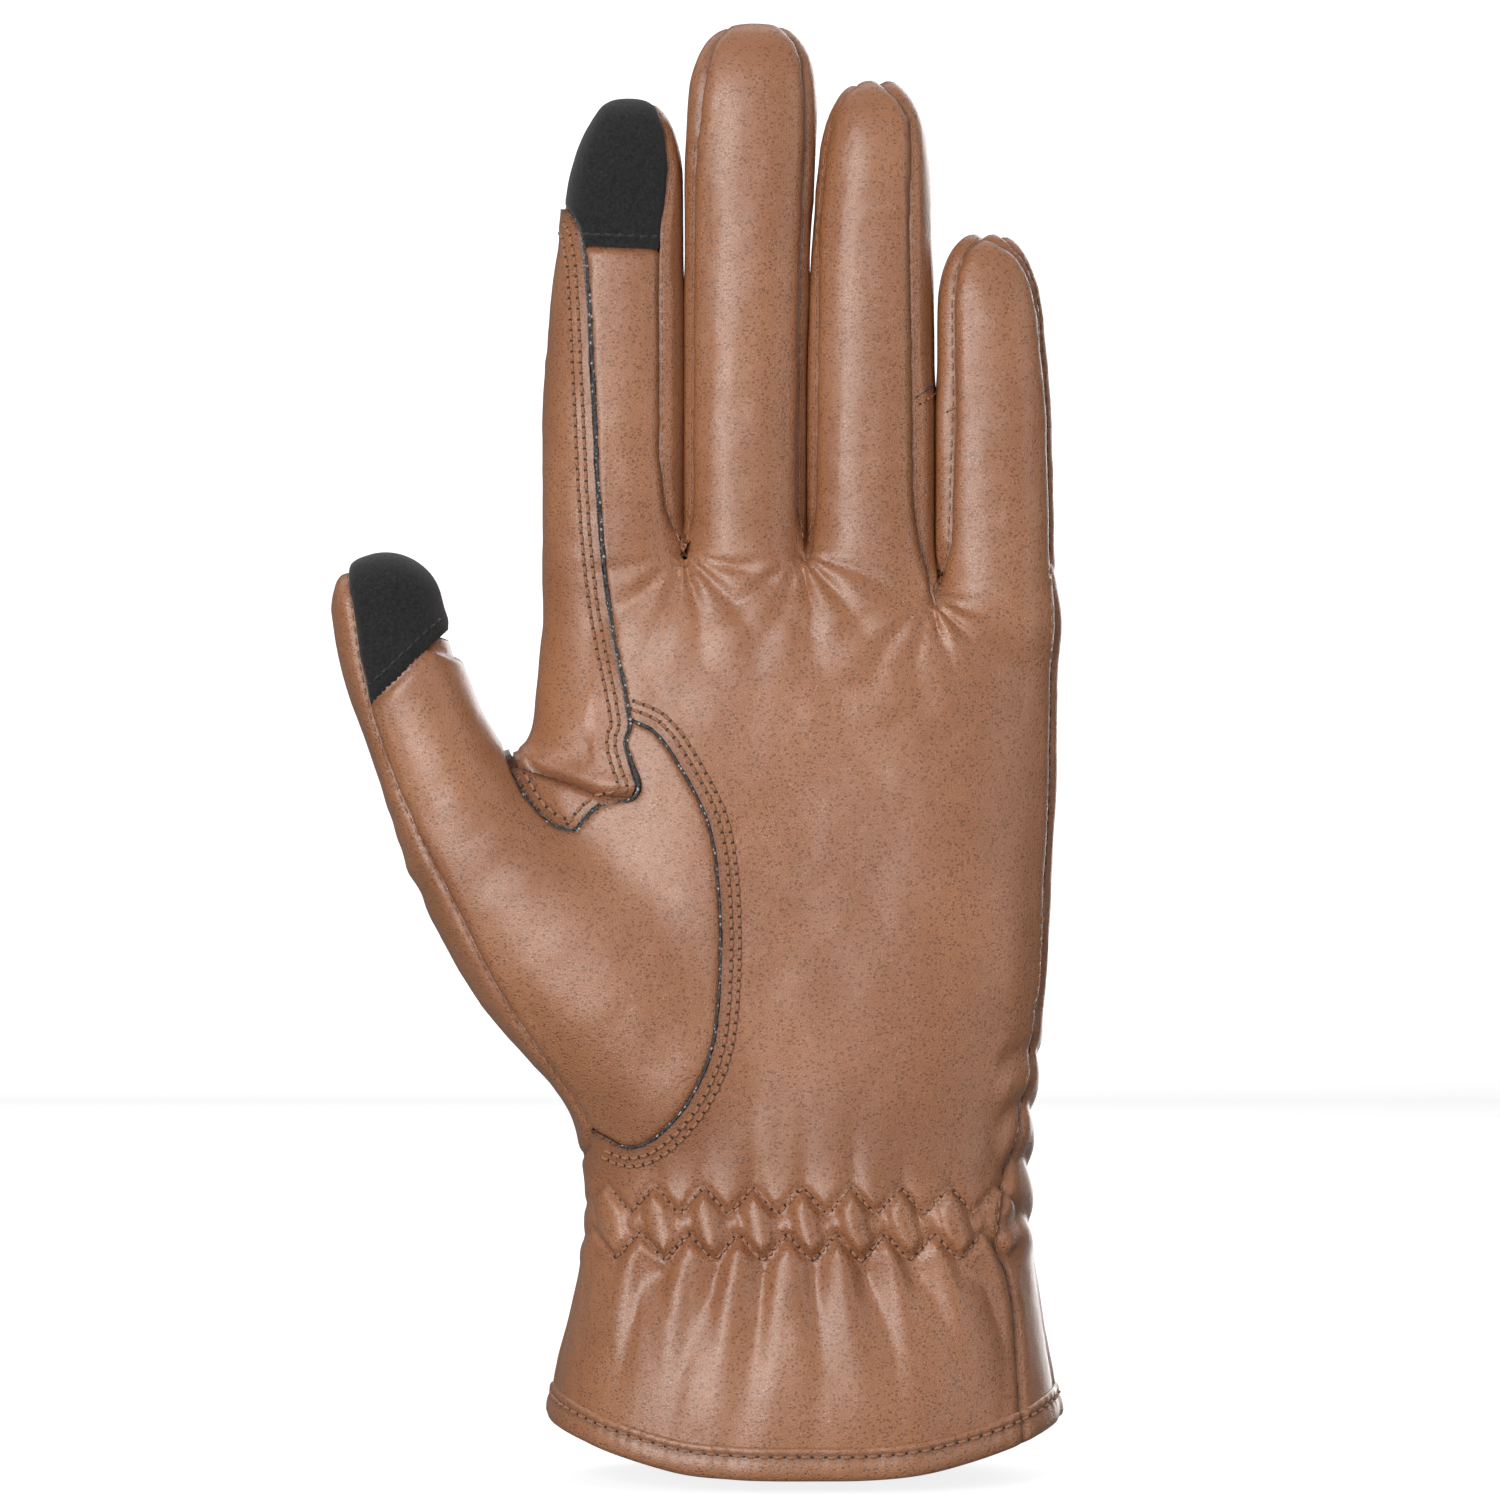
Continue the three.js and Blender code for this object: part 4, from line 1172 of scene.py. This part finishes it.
def hem_parts(surface):
    """The binding folded over the hem, and its stitch row."""
    count = 420
    lower, upper = 3.0, 6.5         # heights at which the leather under the binding is found
    low, high, outward = [], [], []
    for turn in np.linspace(0, 2 * np.pi, count, endpoint=False):
        guess = cuff_point(np.array([turn]), 4.0, 0)[0]
        out = unit(np.array([(guess[0] - CUFF_X) / 42 ** 2, guess[1] / 26 ** 2, 0]))
        start = guess + out * 20
        for found, rise in ((low, lower), (high, upper)):
            level = hem_height(guess[0]) + rise
            found.append(cast(surface, (start[0], start[1], level), tuple(-out))[0])
        outward.append(out)
    low, high, outward = np.array(low), np.array(high), np.array(outward)
    level = hem_height(low[:, 0])
    s = np.cumsum(np.linalg.norm(np.diff(low, axis=0, append=low[:1]), axis=1))
    pucker = np.cos(2 * np.pi * np.round(s[-1] / HEM_STITCH) * s / s[-1])
    rows, painted_shades = [], []
    for out, h in HEM_PROFILE:
        t = np.clip((h - lower) / (upper - lower), -0.9, 1)
        tight = math.exp(-((h - HEM_RIDGE) / 1.3) ** 2) if out > 0 else 0
        swell = out + 0.10 * tight * pucker + 0.12 * noise(s / 6, h / 5 + 0 * s, 0 * s, 51)
        at = low + (high - low) * t + outward * swell[:, None]
        at[:, 2] = level + h + 0.12 * noise(s / 9, 0 * s, 0 * s, 52)
        rows.append(at)
        # painted shade along the pinched stitch line of the binding
        tone = math.exp(-((h - HEM_RIDGE) / 0.5) ** 2) if out > 0 else 0.3 * (h > 5.5)
        painted_shades.append(np.full(count, float(tone)))
    band = sheet(np.array(rows)[::-1], True)
    band[0][:, 10] = np.concatenate(painted_shades[::-1])
    line = rows[HEM_ROW] + outward * 0.06
    line = np.vstack([line, line[:1]])
    return band, stitches(line, np.vstack([outward, outward[:1]]), HEM_STITCH, 0.27)


# ---- materials
class Shader:
    """A small helper for node trees."""

    def __init__(self, name):
        self.material = bpy.data.materials.new(name)
        self.material.use_nodes = True
        self.tree = self.material.node_tree
        self.tree.nodes.clear()
        self.bsdf = self.node("BsdfPrincipled")
        out = self.node("OutputMaterial")
        self.link(self.bsdf.outputs[0], out.inputs["Surface"])
        self.rest = self.node("Attribute", attribute_name="rest").outputs["Vector"]
        # painted shade, 0 to 1, read from the mesh
        self.tone = self.node("Attribute", attribute_name="tone").outputs["Fac"]

    def node(self, kind, **settings):
        made = self.tree.nodes.new("ShaderNode" + kind)
        for key, value in settings.items():
            setattr(made, key, value)
        return made

    def link(self, a, b):
        self.tree.links.new(a, b)

    def feed(self, socket, value):
        if isinstance(value, bpy.types.NodeSocket):
            self.link(value, socket)
        else:
            socket.default_value = value

    def texture(self, kind, stretch, numbers, **settings):
        """A texture in resting millimetres, so that it stays on the leather as it bends."""
        mapping = self.node("Mapping")
        mapping.inputs["Scale"].default_value = stretch
        self.link(self.rest, mapping.inputs["Vector"])
        made = self.node(kind, **settings)
        self.link(mapping.outputs[0], made.inputs["Vector"])
        for key, value in numbers.items():
            made.inputs[key].default_value = value
        return made

    def noise(self, scale, detail=2.0, rough=0.55, stretch=(1, 1, 1)):
        numbers = {"Scale": scale, "Detail": detail, "Roughness": rough}
        return self.texture("TexNoise", stretch, numbers).outputs["Fac"]

    def cells(self, scale, feature="F1", stretch=(1, 1, 1)):
        made = self.texture("TexVoronoi", stretch, {"Scale": scale}, feature=feature)
        return made.outputs["Distance"]

    def bands(self, vector, direction, scale, distortion, detail_scale=1.0):
        wave = self.node("TexWave", wave_type="BANDS", bands_direction=direction)
        self.link(vector, wave.inputs["Vector"])
        for key, value in (("Scale", scale), ("Distortion", distortion),
                           ("Detail Scale", detail_scale)):
            wave.inputs[key].default_value = value
        return wave.outputs["Fac"]

    def remap(self, value, low, high, to_low=0.0, to_high=1.0):
        r = self.node("MapRange", interpolation_type="SMOOTHSTEP")
        self.feed(r.inputs["Value"], value)
        for key, v in (("From Min", low), ("From Max", high), ("To Min", to_low), ("To Max", to_high)):
            r.inputs[key].default_value = v
        return r.outputs["Result"]

    def math(self, operation, a, b):
        m = self.node("Math", operation=operation)
        self.feed(m.inputs[0], a)
        self.feed(m.inputs[1], b)
        return m.outputs[0]

    def mix(self, factor, a, b):
        m = self.node("Mix", data_type="RGBA")
        self.feed(m.inputs[0], factor)
        for socket, value in ((m.inputs[6], a), (m.inputs[7], b)):
            self.feed(socket, value if isinstance(value, bpy.types.NodeSocket) else (*value, 1))
        return m.outputs[2]

    def bump(self, height, distance, strength=1.0, normal=None):
        b = self.node("Bump")
        b.inputs["Strength"].default_value = strength
        b.inputs["Distance"].default_value = distance * MM
        self.link(height, b.inputs["Height"])
        if normal is not None:
            self.link(normal, b.inputs["Normal"])
        return b.outputs[0]

    def finish(self, color, roughness, normal=None, **inputs):
        self.feed(self.bsdf.inputs["Base Color"], color)
        self.feed(self.bsdf.inputs["Roughness"], roughness)
        if normal is not None:
            self.link(normal, self.bsdf.inputs["Normal"])
        for key, value in inputs.items():
            self.bsdf.inputs[key.replace("_", " ")].default_value = value
        return self.material


def leather_material(name, light, deep, pore_and_shade):
    m = Shader(name)
    broad = m.remap(m.noise(0.045, 3), 0.36, 0.66)
    fine = m.remap(m.noise(0.7, 4, 0.6), 0.3, 0.7)
    color = m.mix(broad, deep, light)
    color = m.mix(m.math("MULTIPLY", fine, 0.3), color, deep)
    # hair pores, lying in short rows
    pits = m.remap(m.cells(1.5, stretch=(0.8, 1.0, 1.25)), 0.17, 0.40, 1.0, 0.0)
    groups = m.remap(m.noise(0.3, 3, 0.6, stretch=(1, 1, 1.6)), 0.30, 0.52, 0.25, 1.0)
    pits = m.math("MULTIPLY", pits, groups)
    grain = m.remap(m.cells(2.1, feature="DISTANCE_TO_EDGE"), 0.0, 0.16)
    color = m.mix(m.math("MULTIPLY", pits, 0.58), color, pore_and_shade)
    # painted shade along seams, laps, folds, the wrist and the pinched rows
    color = m.mix(m.math("MULTIPLY", m.tone, 0.8), color, pore_and_shade)
    height = m.math("SUBTRACT", grain, m.math("MULTIPLY", pits, 1.6))
    normal = m.bump(height, 0.07, 0.85)
    normal = m.bump(m.noise(0.6, 4, 0.65), 0.28, 0.6, normal)
    rough = m.remap(m.noise(0.35, 3), 0.3, 0.7, 0.45, 0.55)
    rough = m.math("ADD", rough, m.math("MULTIPLY", m.tone, 0.12))
    return m.finish(color, rough, normal, Specular_IOR_Level=0.6, Coat_Weight=1.0,
                    Coat_Roughness=0.42)


def suede_material(name):
    m = Shader(name)
    nap = m.noise(1.6, 6, 0.72)
    flecks = m.remap(m.noise(4.5, 2, 0.5), 0.56, 0.72)
    color = m.mix(m.remap(nap, 0.3, 0.72), (0.009, 0.009, 0.0095), (0.024, 0.0235, 0.024))
    color = m.mix(m.math("MULTIPLY", flecks, 0.4), color, (0.055, 0.054, 0.055))
    # painted shade near the seams and laps
    color = m.mix(m.math("MULTIPLY", m.tone, 0.7), color, (0.006, 0.006, 0.006))
    height = m.math("ADD", nap, m.math("MULTIPLY", m.noise(5.0, 3, 0.7), 0.8))
    return m.finish(color, 0.95, m.bump(height, 0.10, 0.8), Sheen_Weight=0.12, Sheen_Roughness=0.6,
                    Specular_IOR_Level=0.15)


def edge_material(name):
    m = Shader(name)
    fibre = m.noise(2.6, 5, 0.7)
    color = m.mix(m.remap(fibre, 0.35, 0.65), (0.030, 0.028, 0.029), (0.115, 0.108, 0.110))
    flecks = m.remap(m.cells(1.15), 0.16, 0.34, 1.0, 0.0)
    color = m.mix(m.math("MULTIPLY", flecks, 0.8), color, (0.55, 0.54, 0.55))
    return m.finish(color, 0.95, m.bump(fibre, 0.18, 1.0), Specular_IOR_Level=0.1)


def thread_material(name, light, deep):
    m = Shader(name)
    position = m.node("NewGeometry").outputs["Position"]       # metres
    ply = m.bands(position, "DIAGONAL", 900, 1.5)
    color = m.mix(ply, deep, light)
    color = m.mix(m.math("MULTIPLY", m.noise(0.4, 2), 0.4), color, deep)
    # painted shade: the needle-hole discs go dark
    color = m.mix(m.tone, color, tuple(0.16 * c for c in deep))
    return m.finish(color, 0.62, m.bump(ply, 0.05, 0.6), Sheen_Weight=0.2, Specular_IOR_Level=0.35)


def knit_material(name, light, deep, rib):
    m = Shader(name)
    direction, scale = ("Z", 0.35) if rib else ("X", 0.6)
    ply = m.bands(m.rest, direction, scale, 1.2, 2.0)
    color = m.mix(ply, deep, light)
    color = m.mix(m.math("MULTIPLY", m.noise(1.2, 4), 0.5), color, deep)
    return m.finish(color, 0.92, m.bump(ply, 0.22, 0.8), Sheen_Weight=0.35, Specular_IOR_Level=0.2)


def ground_material():
    """Pale and even from the glove's side, and see-through from behind."""
    m = Shader("studio_sweep")
    behind = m.node("NewGeometry").outputs["Backfacing"]
    m.feed(m.bsdf.inputs["Alpha"], m.math("SUBTRACT", 1.0, behind))
    return m.finish((0.35, 0.35, 0.35, 1), 0.9, Emission_Color=(1, 1, 1, 1), Emission_Strength=0.84,
                    Specular_IOR_Level=0.0)


# ---- the glove
# Cross joins in the two fourchettes that face each other between ring and little finger.
JOINS = [np.array([(36.9, 182.9), (39.7, 184.8)]), np.array([(41.6, 181.6), (43.2, 182.6)])]
GUSSET_STITCHED = resample(GUSSET_LEFT[2:], 12)[1:]
CAP_ROWS = [np.array([(-20.6, 210.4), (-6.6, 209.9)]), np.array([(-55.9, 133.6), (-43.6, 145.2)])]


def panels_and_surface(leather, suede):
    """Cuts, shapes and hands over the leather pieces; gives the surface the rest lies on."""
    panels = divide(glove_skin())
    sewn = sewn_points(panels)
    panels = {name: shaped(name, panel, sewn) for name, panel in panels.items()}
    for name, panel in panels.items():
        look = (suede, "touch_suede") if name.endswith("cap") else (leather, "leather")
        emit(name, panel, *look, panel_nodes(name), skirt=True)
    return leather_surface(panels)


def raw_edges(surface, material):
    """The unfinished cut edges of the lapped pieces."""
    gusset_edge = np.vstack([INDEX_EDGE[1:], resample(GUSSET_RIGHT[::-1][1:], 14)])
    edges = [raw_edge(surface, gusset_edge, 1, 0.64), raw_edge(surface, THENAR[:-2], -1, 0.42, 0.4),
             raw_edge(surface, GUSSET_STITCHED, -1, 0.45, 0.4)]
    edges += [raw_edge(surface, line, -1, 0.4, 0.35) for line in JOINS]
    emit("raw_edge", joined(edges), material, "leather")


def topstitches(surface, thread):
    """The rows that hold the laps: their line and how far beside it they run."""
    first, second = 1.5, 2.9
    rows = []
    for line, offset in ((INDEX_EDGE[1:], first), (INDEX_EDGE[1:], second), (THENAR[:-1], -first),
                         (THENAR[:-1], -second), (GUSSET_STITCHED, -first), (GUSSET_RIGHT[:-1], -first)):
        rows += stitches(*laid(surface, walk(line, FINE_STEP, offset)))
    for line in JOINS:
        rows += stitches(*laid(surface, walk(line, 0.4, 1.6)), pitch=1.3, radius=0.2, holes=0.24)
    emit("topstitch", joined(rows), thread, "thread")


def seam_threads(surface, thread):
    """The tight thread that shows in the turned-in seams."""
    seams = [walk(THUMB_OUTER[1:-4], FINE_STEP), walk(RIGHT_SEAM[::-1][:, ::-1], FINE_STEP, 0.2)]
    for strip, table in STRIP_SEAMS.items():
        if strip != OUTER_STRIP:
            line = np.array([(x, z) for z, x, _ in table if 158 <= z < 233 or z == 151])
            seams.append(walk(line[::-1], FINE_STEP))
    tight = []
    for line in seams:
        tight += stitches(*laid(surface, line), pitch=2.1, radius=0.16, holes=0.0, rise=0.05)
    emit("seam_thread", joined(tight), thread, "thread")


def cap_stitches(surface, thread):
    rows = []
    for line in CAP_ROWS:
        rows += stitches(*laid(surface, walk(line, FINE_STEP)), pitch=1.9, radius=0.22, holes=0.28)
    emit("cap_stitch", joined(rows), thread, "thread")


def zigzag_threads(surface, thread):
    x = np.arange(-14.0, 48.0, 0.4)
    for side, facing in (("palm", -1), ("back", 1)):
        for row, where in enumerate(("upper", "lower")):
            line = np.stack([x, row_height(row, x)], 1)
            parts = stitches(*laid(surface, line, facing, 2), pitch=1.57, radius=0.27, holes=0.42)
            nodes = (f"zigzag_thread_{where}",) if side == "palm" else ()
            emit(f"zigzag_{where}_{side}", joined(parts), thread, "thread", lambda s, n=nodes: n)


def hem(surface, binding, thread):
    band, row = hem_parts(surface)
    emit("hem_binding", joined([band]), binding, "binding", lambda s: ("hem_binding",))
    emit("hem_stitch", joined(row), thread, "thread")


def inside_bands(elastic, lining):
    """The two elastic webs and the linings of cuff and hand."""
    for side, middle in (("palm", -np.pi / 2), ("back", np.pi / 2)):
        turns = np.linspace(middle - 0.85, middle + 0.85, 60)
        part = inner_band(36, 49.2, turns, 2.0, 0.9, False, 0.3)
        name = f"wrist_elastic_{side}"
        emit(name, joined([part]), elastic, "elastic", lambda s, n=name: (n,))
    around = np.linspace(0, 2 * np.pi, 120, endpoint=False)
    part = inner_band(6.2, 35.3, around, 3.1, 0.5, True)
    emit("cuff_lining", joined([part]), lining, "lining", lambda s: ("cuff_lining",))
    part = inner_band(50, 146, around, 2.2, 0.5, True)
    emit("hand_lining", joined([part]), lining, "lining",
         lambda s: ("hand_lining",) if s == "hand" else ())


def build():
    leather = leather_material("tan_leather", light=(0.39, 0.153, 0.060),
                               deep=(0.325, 0.118, 0.041), pore_and_shade=(0.12, 0.037, 0.012))
    binding = leather_material("binding_leather", light=(0.39, 0.158, 0.065),
                               deep=(0.33, 0.124, 0.047), pore_and_shade=(0.105, 0.035, 0.013))
    suede = suede_material("touch_suede")
    cut = edge_material("raw_edge")
    thread = thread_material("tan_thread", (0.44, 0.205, 0.105), (0.25, 0.105, 0.052))
    dark = thread_material("black_thread", (0.03, 0.03, 0.03), (0.012, 0.012, 0.012))
    elastic = knit_material("elastic_web", (0.16, 0.12, 0.09), (0.07, 0.05, 0.035), True)
    lining = knit_material("brushed_lining", (0.085, 0.078, 0.075), (0.035, 0.032, 0.031), False)

    surface = panels_and_surface(leather, suede)
    raw_edges(surface, cut)
    topstitches(surface, thread)
    seam_threads(surface, thread)
    cap_stitches(surface, dark)
    zigzag_threads(surface, thread)
    hem(surface, binding, thread)
    inside_bands(elastic, lining)


build()


# ---- studio
# Metres and watts: name, place, what it faces, size and power.
CENTRE = (0.01, 0, 0.13)
LIGHTS = [
    ("key_soft", (-0.40, -0.90, 0.27), CENTRE, (0.5, 0.9), 12.3),
    ("fill_soft", (0.85, -0.7, 0.26), CENTRE, (0.5, 1.0), 2.7),
    ("top_soft", (-0.1, -0.1, 1.25), CENTRE, (1.2, 0.8), 0.3),
    ("back_soft", (0.0, 0.45, 1.0), (0, 1.0, 0.3), (2.4, 0.8), 12),
    ("rear_soft", (0.40, 0.80, 0.35), CENTRE, (0.5, 0.9), 5.0),
]
WORLD_SEEN, WORLD_LEVEL = 0.9, 0.18         # to the camera, and as a light
# The sweep's y and height above the hem: a floor that curves up behind the glove.
SWEEP = ((-1.6, 0), (0.4, 0), (0.62, 0.03), (0.78, 0.12), (0.86, 0.28), (0.9, 0.5), (0.9, 2.2))
SWEEP_HALF = 2.2
AIM = Vector((0.0089, 0, 0.1225))
CAMERA_DISTANCE, CAMERA_RISE, VIEW_WIDTH = 1.45, math.radians(2), 0.2565
SENSOR = 36


def sweep():
    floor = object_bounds()[0][2]
    rows = [[(x, y, z + floor) for x in (-SWEEP_HALF, 0, SWEEP_HALF)] for y, z in SWEEP]
    rows = resample(np.array(rows).reshape(len(SWEEP), -1), 40).reshape(40, 3, 3) / MM
    values, tri = sheet(rows, False)
    ground = mesh_object("studio_sweep", values[:, :3], tri,
                         {"rest": values[:, :3], "tone": np.zeros(len(values))})
    ground.data.materials.append(ground_material())
    ground.visible_glossy = ground.visible_diffuse = False


def light(name, place, target, size, power):
    """A soft rectangular light that the camera doesn't see."""
    data = bpy.data.lights.new(name, "AREA")
    data.shape, data.size, data.size_y = "RECTANGLE", size[0], size[1]
    data.energy = power
    obj = bpy.data.objects.new(name, data)
    obj.visible_camera = False
    obj.location = place
    obj.rotation_euler = (Vector(target) - Vector(place)).to_track_quat("-Z", "Y").to_euler()
    bpy.context.scene.collection.objects.link(obj)


def surroundings():
    """A world that is white to the camera and dim as a light."""
    world = bpy.data.worlds.new("studio")
    world.use_nodes = True
    nodes, links = world.node_tree.nodes, world.node_tree.links
    seen = nodes.new("ShaderNodeLightPath")
    level = nodes.new("ShaderNodeMapRange")
    level.inputs["To Min"].default_value = WORLD_LEVEL
    level.inputs["To Max"].default_value = WORLD_SEEN
    links.new(seen.outputs["Is Camera Ray"], level.inputs["Value"])
    nodes["Background"].inputs[0].default_value = (1, 1, 1, 1)
    links.new(level.outputs["Result"], nodes["Background"].inputs[1])
    bpy.context.scene.world = world


def camera():
    data = bpy.data.cameras.new("camera")
    view = bpy.data.objects.new("camera", data)
    bpy.context.scene.collection.objects.link(view)
    back = Vector((0, -math.cos(CAMERA_RISE), math.sin(CAMERA_RISE)))
    view.location = AIM + back * CAMERA_DISTANCE
    view.rotation_euler = (math.pi / 2 - CAMERA_RISE, 0, 0)
    data.sensor_width = SENSOR
    data.lens = SENSOR * CAMERA_DISTANCE / VIEW_WIDTH
    data.clip_start = 0.01
    bpy.context.scene.camera = view


sweep()
for row in LIGHTS:
    light(*row)
surroundings()
camera()
bpy.context.scene.view_settings.view_transform = "Standard"
